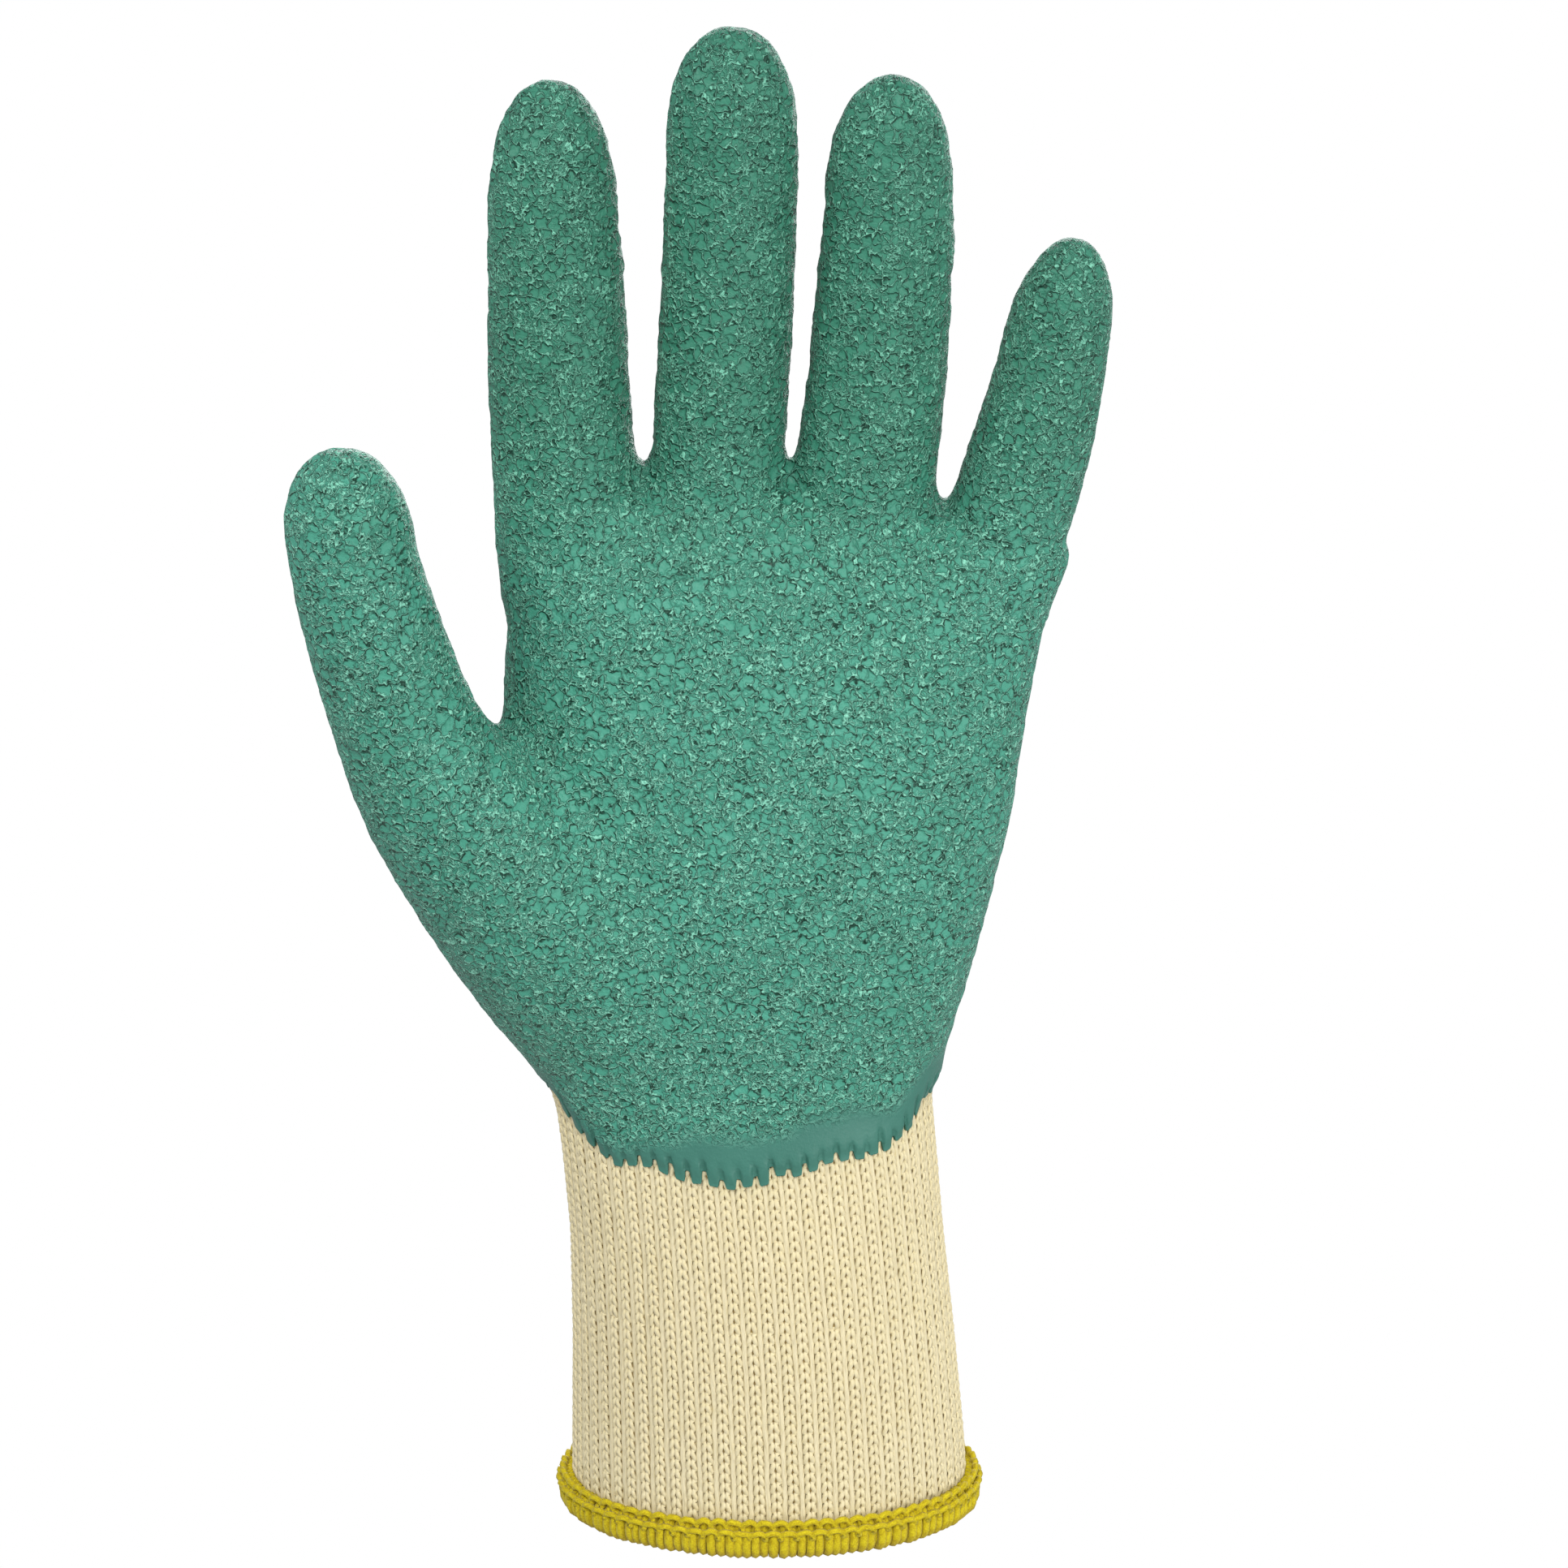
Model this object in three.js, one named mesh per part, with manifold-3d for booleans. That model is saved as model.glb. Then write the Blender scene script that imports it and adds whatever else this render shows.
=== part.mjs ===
// Latex coated knitted grip glove for a left hand, in the shape it has when worn. Millimetres.
// The fingers point to +Z, the palm faces -Y and the thumb is on the -X side.
// The origin is the middle of the cuff's mouth, level with the lowest edge of the hem.
import * as THREE from "three";
import { mergeVertices } from "three/addons/utils/BufferGeometryUtils.js";
import Module from "manifold-3d";

const wasm = await Module();
wasm.setup();

// Walls and clearances
const knitWall = 1.8;
const filmWall = 0.9;
const clearance = 0.3;

// Cuff and wrist, measured over the knit
const cuffLength = 74;
const cuffWidth = 66;
const cuffDepth = 48;
const wristWidth = 61.5;
const wristDepth = 42;

// Palm, from the wrist to the webs between the fingers
const palmLength = 102.8;
const palmDepth = 41;
const webGap = 4.8;

// Fingers over the knit: length above the webs, and width at the root
const indexLength = 63;
const indexWidth = 19.8;
const middleLength = 72;
const middleWidth = 18.3;
const ringLength = 64;
const ringWidth = 19.2;
const littleLength = 44.5;
const littleWidth = 17.9;
const fingerDepth = 19.6;

// Thumb over the knit: height from its base in the heel of the hand to its tip
const thumbLength = 105.6;
const thumbWidth = 20.6;
const thumbDepth = 20.6;

// Latex coat: height of its edge at the front of the wrist and how that edge climbs, how far the
// coat wraps to the back, over the fingertips, and past the index edge on the thumb
const coatEdge = 65;
const coatSlope = 0.5;
const coatWrap = 3;
const tipWrap = 10;
const thumbWrap = 1.07;

// Overlocked hem round the mouth of the cuff
const hemHeight = 6.2;
const hemProud = 2.5;
const hemInside = 1.1;
const hemUnder = 1.4;

// Facets round each section
const bodySides = 32;
const fingerSides = 12;
const thumbSides = 14;

// Fingers beside each other, placed from the middle one: gap in shares of webGap, root drop in
// shares of palmLength, lean and curl in shares of the finger's length, taper left at the tip
const fingers = {
  index: { length: indexLength, width: indexWidth, gap: 1.18, drop: 0, lean: -0.0175, curl: 0.09, taper: 0.8 },
  middle: { length: middleLength, width: middleWidth, gap: 0, drop: 0, lean: 0.039, curl: 0.11, taper: 0.93 },
  ring: { length: ringLength, width: ringWidth, gap: 1.06, drop: 0, lean: 0.061, curl: 0.11, taper: 0.86 },
  little: { length: littleLength, width: littleWidth, gap: 0.9, drop: 0.064, lean: 0.205, curl: 0.1, taper: 0.7 },
};
const middleOffset = -0.125;
fingers.middle.x = middleOffset * cuffWidth;
fingers.index.x = fingers.middle.x - (middleWidth + indexWidth) / 2 - fingers.index.gap * webGap;
fingers.ring.x = fingers.middle.x + (middleWidth + ringWidth) / 2 + fingers.ring.gap * webGap;
fingers.little.x = fingers.ring.x + (ringWidth + littleWidth) / 2 + fingers.little.gap * webGap;
const indexEdge = indexWidth / 2 - fingers.index.x;
const littleEdge = littleWidth / 2 + fingers.little.x;

// Finger shaft sections: along is a share of the shaft, thin a share of the whole taper
const shaftRows = [
  { along: 0, thin: 0 },
  { along: 0.3, thin: 0.05 },
  { along: 0.6, thin: 0.22 },
  { along: 0.82, thin: 0.6 },
  { along: 1, thin: 1 },
];
// Round end of a finger or of the thumb, in degrees from the shaft towards the tip
const capTurns = [24, 46, 66, 81];
const fingerCap = 0.56;
const fingerSink = 0.75;
const sinkThin = 0.78;
const fingerFlat = 0.86;

// Cuff sections: up is a share of cuffLength, left and right of cuffWidth, front and back of cuffDepth
const cuffRows = [
  { up: 0, left: 0.506, right: 0.503, front: 0.5, back: 0.5, square: 2 },
  { up: 0.16, left: 0.508, right: 0.489, front: 0.5, back: 0.5, square: 2.05 },
  { up: 0.42, left: 0.5, right: 0.463, front: 0.5, back: 0.49, square: 2.1 },
  { up: 0.68, left: 0.503, right: 0.431, front: 0.49, back: 0.47, square: 2.15 },
];
// Wrist sections: up is a share of cuffLength, left and right of wristWidth, front and back of wristDepth
const wristRows = [
  { up: 0.87, left: 0.557, right: 0.445, front: 0.535, back: 0.5, square: 2.2 },
  { up: 1, left: 0.578, right: 0.43, front: 0.515, back: 0.465, square: 2.2 },
];
// Palm sections: up is a share of palmLength, left of indexEdge, right of littleEdge, front and back
// of palmDepth, and dome is how far the section follows the knuckle end when the wall grows
const palmRows = [
  { up: 0.08, left: 0.93, right: 0.583, front: 0.53, back: 0.455, square: 2.25, dome: 0 },
  { up: 0.19, left: 0.94, right: 0.655, front: 0.565, back: 0.44, square: 2.3, dome: 0 },
  { up: 0.33, left: 0.97, right: 0.732, front: 0.58, back: 0.43, square: 2.35, dome: 0 },
  { up: 0.48, left: 0.995, right: 0.806, front: 0.555, back: 0.41, square: 2.4, dome: 0 },
  { up: 0.64, left: 0.98, right: 0.855, front: 0.495, back: 0.39, square: 2.45, dome: 0 },
  { up: 0.76, left: 0.955, right: 0.905, front: 0.43, back: 0.37, square: 2.5, dome: 0 },
  { up: 0.86, left: 0.965, right: 0.972, front: 0.365, back: 0.335, square: 2.5, dome: 0 },
  { up: 0.925, left: 0.955, right: 0.985, front: 0.285, back: 0.27, square: 2.4, dome: 0.4 },
  { up: 0.95, left: 0.93, right: 0.54, front: 0.235, back: 0.23, square: 2.3, dome: 0.7 },
  { up: 0.98, left: 0.9, right: 0.5, front: 0.15, back: 0.155, square: 2.2, dome: 0.9 },
  { up: 1, left: 0.82, right: 0.44, front: 0.065, back: 0.07, square: 2, dome: 1 },
];

// Thumb sections: out, fore and up are shares of thumbLength from the base, wide and deep half
// sizes as shares of thumbWidth and thumbDepth
const thumbRows = [
  { out: 0.038, fore: 0.019, up: 0.057, wide: 1.0, deep: 0.68 },
  { out: 0.152, fore: 0.052, up: 0.21, wide: 1.13, deep: 0.78 },
  { out: 0.276, fore: 0.086, up: 0.362, wide: 1.0, deep: 0.71 },
  { out: 0.381, fore: 0.11, up: 0.476, wide: 0.78, deep: 0.62 },
  { out: 0.446, fore: 0.124, up: 0.555, wide: 0.535, deep: 0.54 },
  { out: 0.492, fore: 0.14, up: 0.676, wide: 0.485, deep: 0.5 },
  { out: 0.523, fore: 0.154, up: 0.8, wide: 0.45, deep: 0.46 },
  { out: 0.539, fore: 0.166, up: 0.9, wide: 0.41, deep: 0.41 },
];
const thumbBaseX = -0.141;
const thumbBaseY = -0.0625;
const thumbBaseUp = 0.058;
const thumbTipFore = 0.178;

// Lower edge of the knit inside the hem
const knitBottom = hemUnder + clearance;
const knuckleLine = cuffLength + palmLength;

// Sections of the cuff, wrist and palm from the knit's lower edge to the webs
function bodySections() {
  const rows = [];
  for (const row of cuffRows) {
    rows.push({
      z: Math.max(row.up * cuffLength, knitBottom),
      left: row.left * cuffWidth,
      right: row.right * cuffWidth,
      front: row.front * cuffDepth,
      back: row.back * cuffDepth,
      square: row.square,
      dome: 0,
    });
  }
  for (const row of wristRows) {
    rows.push({
      z: row.up * cuffLength,
      left: row.left * wristWidth,
      right: row.right * wristWidth,
      front: row.front * wristDepth,
      back: row.back * wristDepth,
      square: row.square,
      dome: 0,
    });
  }
  for (const row of palmRows) {
    rows.push({
      z: cuffLength + row.up * palmLength,
      left: row.left * indexEdge,
      right: row.right * littleEdge,
      front: row.front * palmDepth,
      back: row.back * palmDepth,
      square: row.square,
      dome: row.dome,
    });
  }
  return rows;
}

// Points of one rounded oval section, grown outwards by grow at height z
function ovalRing(row, z, grow, sides) {
  const halfWide = (row.left + row.right) / 2 + grow;
  const halfDeep = (row.front + row.back) / 2 + grow;
  const middleX = (row.right - row.left) / 2;
  const middleY = (row.back - row.front) / 2;
  const power = 2 / row.square;
  const ring = [];
  for (let side = 0; side < sides; side++) {
    const turn = (2 * Math.PI * side) / sides;
    const across = Math.cos(turn);
    const deep = Math.sin(turn);
    ring.push(new THREE.Vector3(
      middleX + halfWide * Math.sign(across) * Math.abs(across) ** power,
      middleY + halfDeep * Math.sign(deep) * Math.abs(deep) ** power,
      z,
    ));
  }
  return ring;
}

// Elliptical ring about a centre, in the plane of two axes
function ellipseRing(centre, wideAxis, deepAxis, wide, deep, sides) {
  const ring = [];
  for (let side = 0; side < sides; side++) {
    const turn = (2 * Math.PI * side) / sides;
    ring.push(centre.clone()
      .addScaledVector(wideAxis, wide * Math.cos(turn))
      .addScaledVector(deepAxis, deep * Math.sin(turn)));
  }
  return ring;
}

// Solid from vertices and triangles that already share their corners
function solidFrom(points, faces) {
  const vertProperties = new Float32Array(points.flatMap((point) => [point.x, point.y, point.z]));
  const triVerts = new Uint32Array(faces.flat());
  return new wasm.Manifold(new wasm.Mesh({ numProp: 3, vertProperties, triVerts }));
}

// Closed skin through rings of points that turn anticlockwise seen from the end, with a point at
// the middle of each end
function loftRings(rings) {
  const sides = rings[0].length;
  const points = rings.flat();
  const faces = [];
  for (let row = 0; row < rings.length - 1; row++) {
    for (let side = 0; side < sides; side++) {
      const next = (side + 1) % sides;
      const low = row * sides;
      const high = low + sides;
      faces.push([low + side, low + next, high + next]);
      faces.push([low + side, high + next, high + side]);
    }
  }
  const ends = [rings[0], rings[rings.length - 1]];
  for (const [end, ring] of ends.entries()) {
    const middle = new THREE.Vector3();
    for (const point of ring) {
      middle.addScaledVector(point, 1 / sides);
    }
    const pole = points.push(middle) - 1;
    const first = end === 0 ? 0 : (rings.length - 1) * sides;
    for (let side = 0; side < sides; side++) {
      const here = first + side;
      const next = first + ((side + 1) % sides);
      faces.push(end === 0 ? [pole, next, here] : [pole, here, next]);
    }
  }
  return solidFrom(points, faces);
}

// Cuff, wrist and palm as one closed form, grown by grow and reaching drop below the knit's edge
function bodyForm(grow, drop) {
  const sections = bodySections();
  const rings = sections.map((row) => ovalRing(row, row.z + row.dome * grow, grow, bodySides));
  rings.unshift(ovalRing(sections[0], sections[0].z - drop, grow, bodySides));
  return loftRings(rings);
}

// One finger, grown by grow, from inside the palm to its round tip
function fingerForm(finger, grow) {
  const rootZ = knuckleLine - finger.drop * palmLength;
  const rootWide = finger.width / 2;
  const rootDeep = (fingerDepth / 2) * (finger.width / ringWidth);
  const capLength = fingerCap * finger.width;
  const shaft = finger.length - capLength;
  const place = (height) => {
    const share = Math.max(height / finger.length, 0);
    return new THREE.Vector3(
      finger.x + finger.lean * finger.length * share * (1.7 - 0.7 * share),
      -finger.curl * finger.length * share ** 2,
      rootZ + height,
    );
  };
  const across = new THREE.Vector3(1, 0, 0);
  const depth = new THREE.Vector3(0, 1, 0);
  const sink = place(-fingerSink * finger.width);
  const sinkWide = rootWide * sinkThin + grow;
  const sinkDeep = rootDeep * sinkThin + grow;
  const rings = [ellipseRing(sink, across, depth, sinkWide, sinkDeep, fingerSides)];
  for (const row of shaftRows) {
    const thin = 1 - row.thin * (1 - finger.taper);
    const flat = 1 - row.thin * (1 - fingerFlat);
    const wide = rootWide * thin + grow;
    const deep = rootDeep * thin * flat + grow;
    rings.push(ellipseRing(place(row.along * shaft), across, depth, wide, deep, fingerSides));
  }
  for (const degrees of capTurns) {
    const turn = THREE.MathUtils.degToRad(degrees);
    const centre = place(shaft + (capLength + grow) * Math.sin(turn));
    const wide = (rootWide * finger.taper + grow) * Math.cos(turn);
    const deep = (rootDeep * finger.taper * fingerFlat + grow) * Math.cos(turn);
    rings.push(ellipseRing(centre, across, depth, wide, deep, fingerSides));
  }
  return loftRings(rings);
}

// Middle of the thumb's base in the heel of the hand
function thumbBase() {
  return new THREE.Vector3(
    thumbBaseX * cuffWidth,
    thumbBaseY * cuffDepth,
    cuffLength + thumbBaseUp * palmLength,
  );
}

// Thumb with the ball of the hand, grown by grow
function thumbForm(grow) {
  const base = thumbBase();
  const centres = thumbRows.map((row) => base.clone().add(new THREE.Vector3(
    -row.out * thumbLength,
    -row.fore * thumbLength,
    row.up * thumbLength,
  )));
  const tip = base.clone().add(new THREE.Vector3(
    -thumbRows.at(-1).out * thumbLength,
    -thumbTipFore * thumbLength,
    thumbLength,
  ));
  const depth = new THREE.Vector3(0, 1, 0);
  const rings = [];
  for (const [order, row] of thumbRows.entries()) {
    const before = centres[Math.max(order - 1, 0)];
    const after = order + 1 < centres.length ? centres[order + 1] : tip;
    const along = after.clone().sub(before);
    const across = new THREE.Vector3(along.z, 0, -along.x).normalize();
    const wide = row.wide * thumbWidth + grow;
    const deep = row.deep * thumbDepth + grow;
    rings.push(ellipseRing(centres[order], across, depth, wide, deep, thumbSides));
  }
  const last = thumbRows.at(-1);
  const shoulder = centres.at(-1);
  const reach = tip.clone().sub(shoulder);
  const across = new THREE.Vector3(reach.z, 0, -reach.x).normalize();
  const capLength = reach.length();
  reach.normalize();
  for (const degrees of capTurns) {
    const turn = THREE.MathUtils.degToRad(degrees);
    const centre = shoulder.clone().addScaledVector(reach, (capLength + grow) * Math.sin(turn));
    const wide = (last.wide * thumbWidth + grow) * Math.cos(turn);
    const deep = (last.deep * thumbDepth + grow) * Math.cos(turn);
    rings.push(ellipseRing(centre, across, depth, wide, deep, thumbSides));
  }
  return loftRings(rings);
}

// Whole hand as one closed form, grown by grow over the outside of the knit
function handForm(grow, drop) {
  let form = bodyForm(grow, drop).add(thumbForm(grow));
  for (const finger of Object.values(fingers)) {
    form = form.add(fingerForm(finger, grow));
  }
  return form;
}

// Solid from a closed three.js geometry
function solidOf(geometry) {
  geometry.deleteAttribute("normal");
  geometry.deleteAttribute("uv");
  const merged = mergeVertices(geometry);
  return new wasm.Manifold(new wasm.Mesh({
    numProp: 3,
    vertProperties: new Float32Array(merged.attributes.position.array),
    triVerts: new Uint32Array(merged.index.array),
  }));
}

// Space that the latex bath reaches: the palm side, the whole thumb and the finger ends
function dipSpace() {
  const reach = cuffLength + palmLength + middleLength;
  const frontY = -palmDepth - thumbLength;
  const edgeY = -wristRows[0].front * wristDepth;
  const wrapZ = coatEdge + coatSlope * (coatWrap - edgeY);
  const tipY = coatWrap - fingers.middle.curl * middleLength;
  const profile = new THREE.Shape();
  profile.moveTo(frontY, coatEdge + coatSlope * (frontY - edgeY));
  profile.lineTo(coatWrap, wrapZ);
  profile.lineTo(coatWrap, knuckleLine);
  profile.lineTo(tipY, knuckleLine + middleLength);
  profile.lineTo(tipY, reach + palmLength);
  profile.lineTo(frontY, reach + palmLength);
  profile.closePath();
  const slab = new THREE.ExtrudeGeometry(profile, { depth: 2 * reach, bevelEnabled: false });
  slab.translate(0, 0, -reach);
  slab.applyMatrix4(new THREE.Matrix4().makeBasis(
    new THREE.Vector3(0, 1, 0),
    new THREE.Vector3(0, 0, 1),
    new THREE.Vector3(1, 0, 0),
  ));
  let space = solidOf(slab);
  for (const finger of Object.values(fingers)) {
    const tipZ = knuckleLine - finger.drop * palmLength + finger.length;
    const block = new THREE.BoxGeometry(finger.width + webGap / 2, 2 * palmDepth, tipWrap + palmDepth);
    block.translate(finger.x + finger.lean * finger.length, 0, tipZ - tipWrap + (tipWrap + palmDepth) / 2);
    space = space.add(solidOf(block));
  }
  const thumbBlock = new THREE.BoxGeometry(thumbLength, 3 * palmDepth, 2 * thumbLength);
  thumbBlock.translate(-thumbLength / 2 - thumbWrap * indexEdge, 0, thumbBase().z + thumbLength);
  return space.add(solidOf(thumbBlock));
}

// Overlocked hem: a channel whose section wraps the knit's lower edge, carried round the cuff
function hemForm() {
  const outerLeg = clearance;
  const innerLeg = -knitWall - clearance;
  const inside = innerLeg - hemInside;
  const section = [
    { grow: outerLeg, z: hemHeight },
    { grow: outerLeg, z: knitBottom - clearance },
    { grow: innerLeg, z: knitBottom - clearance },
    { grow: innerLeg, z: 0.92 * hemHeight },
    { grow: inside, z: 0.85 * hemHeight },
    { grow: inside, z: 0.22 * hemHeight },
    { grow: innerLeg, z: 0 },
    { grow: 0.45 * hemProud, z: 0 },
    { grow: hemProud, z: 0.25 * hemHeight },
    { grow: hemProud, z: 0.72 * hemHeight },
    { grow: 0.6 * hemProud, z: hemHeight },
  ];
  const sections = bodySections();
  const low = sections[0];
  const high = sections[1];
  const points = [];
  for (const corner of section) {
    const share = THREE.MathUtils.clamp((corner.z - low.z) / (high.z - low.z), 0, 1);
    const row = {};
    for (const name of ["left", "right", "front", "back", "square"]) {
      row[name] = THREE.MathUtils.lerp(low[name], high[name], share);
    }
    points.push(...ovalRing(row, corner.z, corner.grow, bodySides));
  }
  const faces = [];
  for (let corner = 0; corner < section.length; corner++) {
    for (let side = 0; side < bodySides; side++) {
      const next = (side + 1) % bodySides;
      const near = corner * bodySides;
      const far = ((corner + 1) % section.length) * bodySides;
      faces.push([near + side, near + next, far + next]);
      faces.push([near + side, far + next, far + side]);
    }
  }
  return solidFrom(points, faces);
}

// Knit liner: one hollow wall over the whole hand, open at the cuff
const mouthDrop = 2 * hemHeight;
const knitSolid = handForm(0, 0).subtract(handForm(-knitWall, mouthDrop));

// Latex coat: a film over the knit, cut where the bath ended
const filmSkin = handForm(clearance + filmWall, 0).subtract(handForm(clearance, mouthDrop));
const filmSolid = filmSkin.intersect(dipSpace());

// Named mesh of a solid, with its finish
function meshOf(name, solid, finish) {
  const mesh = solid.getMesh();
  const geometry = new THREE.BufferGeometry();
  geometry.setAttribute("position", new THREE.BufferAttribute(mesh.vertProperties, mesh.numProp));
  geometry.setIndex(new THREE.BufferAttribute(mesh.triVerts, 1));
  geometry.computeVertexNormals();
  const node = new THREE.Mesh(geometry, new THREE.MeshStandardMaterial(finish));
  node.name = name;
  return node;
}

const cottonKnit = { color: 0xe8dcb4, roughness: 0.9, metalness: 0 };
const naturalRubber = { color: 0x4f9c83, roughness: 0.55, metalness: 0 };
const overlockThread = { color: 0xd6c81e, roughness: 0.7, metalness: 0 };

const group = new THREE.Group();
group.add(meshOf("knit_liner", knitSolid, cottonKnit));
group.add(meshOf("latex_coat", filmSolid, naturalRubber));
group.add(meshOf("cuff_hem", hemForm(), overlockThread));

export default group;
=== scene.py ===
# Latex coated grip glove: knitted cotton liner, crinkled natural rubber coat and overlocked hem.
# Numbers in the tables are millimetres; meshes are made in metres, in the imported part's own frame.
import math
import bpy
import numpy as np
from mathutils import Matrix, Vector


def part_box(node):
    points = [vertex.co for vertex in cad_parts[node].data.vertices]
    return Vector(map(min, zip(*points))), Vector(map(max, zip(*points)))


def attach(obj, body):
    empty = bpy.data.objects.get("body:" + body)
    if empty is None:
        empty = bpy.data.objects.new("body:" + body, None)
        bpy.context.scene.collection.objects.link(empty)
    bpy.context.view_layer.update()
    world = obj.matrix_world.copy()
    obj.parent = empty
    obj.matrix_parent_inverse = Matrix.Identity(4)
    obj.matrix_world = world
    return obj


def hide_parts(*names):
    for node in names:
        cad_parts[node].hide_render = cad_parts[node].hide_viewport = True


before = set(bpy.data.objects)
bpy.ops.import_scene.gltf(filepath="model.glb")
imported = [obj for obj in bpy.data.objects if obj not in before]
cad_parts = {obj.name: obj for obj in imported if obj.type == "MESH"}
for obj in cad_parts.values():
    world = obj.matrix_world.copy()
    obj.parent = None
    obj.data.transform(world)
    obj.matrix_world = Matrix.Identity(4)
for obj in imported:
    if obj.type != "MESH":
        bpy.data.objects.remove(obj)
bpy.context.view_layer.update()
linerLow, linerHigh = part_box("knit_liner")
mm = 0.001
print("frame loaded")


# Inputs of a node: each is a value, another node's output, or a node for its first output
def fillNode(tree, node, inputs):
    for name, value in inputs.items():
        if isinstance(value, bpy.types.Node):
            value = value.outputs[0]
        if isinstance(value, bpy.types.NodeSocket):
            tree.links.new(value, node.inputs[name])
        else:
            node.inputs[name].default_value = value


# One node with its settings and its inputs
def addNode(tree, kind, inputs=None, **settings):
    node = tree.nodes.new(kind)
    for name, value in settings.items():
        setattr(node, name, value)
    fillNode(tree, node, inputs or {})
    return node


# Linear colour of an sRGB hex value
def toLinear(hexValue):
    parts = [int(hexValue[k:k + 2], 16) / 255 for k in (1, 3, 5)]
    return tuple((c / 12.92 if c <= 0.04045 else ((c + 0.055) / 1.055) ** 2.4) for c in parts) + (1.0,)


# Share from 0 to 1 as value goes from low to high, with a soft start and end
def ease(value, low, high):
    share = np.clip((value - low) / (high - low), 0, 1)
    return share * share * (3 - 2 * share)


# Camera and studio
studio = {
    "target": (2.2, 0.0, 125.6),  # mm, the point of the glove at the middle of the picture
    "distance": 900.0,
    "lookDown": 16.0,  # degrees
    "lens": 127.36,
    "floorDrop": 400.0,  # the glove is held up, so the floor lies well below it
    "floorHalf": 6000.0,
    "white": "#ffffff",
    "roomLight": "#f4f7ff",
    "floorLight": "#c4c4c4",
    "ambient": 0.36,
    "lamps": [
        {"name": "keySun", "kind": "SUN", "place": (-40, -900, 800), "spread": 18, "power": 1.74},
        {"name": "leftBox", "kind": "AREA", "place": (-350, -190, 440), "size": 160, "power": 0.85},
        {"name": "rightBox", "kind": "AREA", "place": (430, -120, 380), "size": 160, "power": 0.45},
        {"name": "nearBox", "kind": "AREA", "place": (420, -420, 40), "size": 260, "power": 1.4},
        {"name": "backBox", "kind": "AREA", "place": (200, 1000, 400), "size": 800, "power": 9},
    ],
}


def buildStudio():
    scene = bpy.context.scene
    scene.view_settings.view_transform = "Standard"
    down = math.radians(studio["lookDown"])
    reach = studio["distance"] * mm
    target = [v * mm for v in studio["target"]]
    camera = bpy.data.objects.new("camera", bpy.data.cameras.new("camera"))
    camera.data.lens = studio["lens"]
    camera.data.sensor_width = 36
    camera.data.clip_start = 0.05
    camera.location = (target[0], target[1] - reach * math.cos(down), target[2] + reach * math.sin(down))
    camera.rotation_euler = (math.radians(90) - down, 0, 0)
    scene.collection.objects.link(camera)
    scene.camera = camera

    # a white room: full white where the camera looks past the glove, softer where it lights it
    world = bpy.data.worlds.new("whiteRoom")
    world.use_nodes = True
    tree = world.node_tree
    tree.nodes.clear()
    path = addNode(tree, "ShaderNodeLightPath")
    seen = addNode(tree, "ShaderNodeBackground", {"Color": toLinear(studio["white"]), "Strength": 1.0})
    room = {"Color": toLinear(studio["roomLight"]), "Strength": studio["ambient"]}
    given = addNode(tree, "ShaderNodeBackground", room)
    mix = addNode(tree, "ShaderNodeMixShader", {0: path.outputs["Is Camera Ray"], 1: given, 2: seen})
    addNode(tree, "ShaderNodeOutputWorld", {"Surface": mix})
    scene.world = world

    for lamp in studio["lamps"]:
        light = bpy.data.lights.new(lamp["name"], lamp["kind"])
        light.energy = lamp["power"]
        if lamp["kind"] == "SUN":
            light.angle = math.radians(lamp["spread"])
        else:
            light.size = lamp["size"] * mm
        stand = bpy.data.objects.new(lamp["name"], light)
        stand.location = [v * mm for v in lamp["place"]]
        toward = np.array(target) - np.array(stand.location)
        spin = math.atan2(toward[1], toward[0]) - math.pi / 2
        tilt = math.atan2(toward[2], math.hypot(toward[0], toward[1])) + math.pi / 2
        stand.rotation_euler = (tilt, 0, spin)
        scene.collection.objects.link(stand)

    # pale floor, overexposed to plain white as in a cut-out photograph, and soft to what it lights
    half, level = studio["floorHalf"] * mm, -studio["floorDrop"] * mm
    corners = [(x * half, y * half, level) for x, y in ((-1, -1), (1, -1), (1, 1), (-1, 1))]
    mesh = bpy.data.meshes.new("floor")
    mesh.from_pydata(corners, [], [(0, 1, 2, 3)])
    floor = bpy.data.objects.new("floor", mesh)
    scene.collection.objects.link(floor)
    paper = bpy.data.materials.new("whitePaper")
    paper.use_nodes = True
    tree = paper.node_tree
    tree.nodes.clear()
    path = addNode(tree, "ShaderNodeLightPath")
    matt = addNode(tree, "ShaderNodeBsdfDiffuse", {"Color": toLinear(studio["floorLight"])})
    bright = addNode(tree, "ShaderNodeEmission", {"Color": toLinear(studio["white"]), "Strength": 1.0})
    mix = addNode(tree, "ShaderNodeMixShader", {0: path.outputs["Is Camera Ray"], 1: matt, 2: bright})
    addNode(tree, "ShaderNodeOutputMaterial", {"Surface": mix})
    mesh.materials.append(paper)


buildStudio()
print("studio ready")

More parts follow.
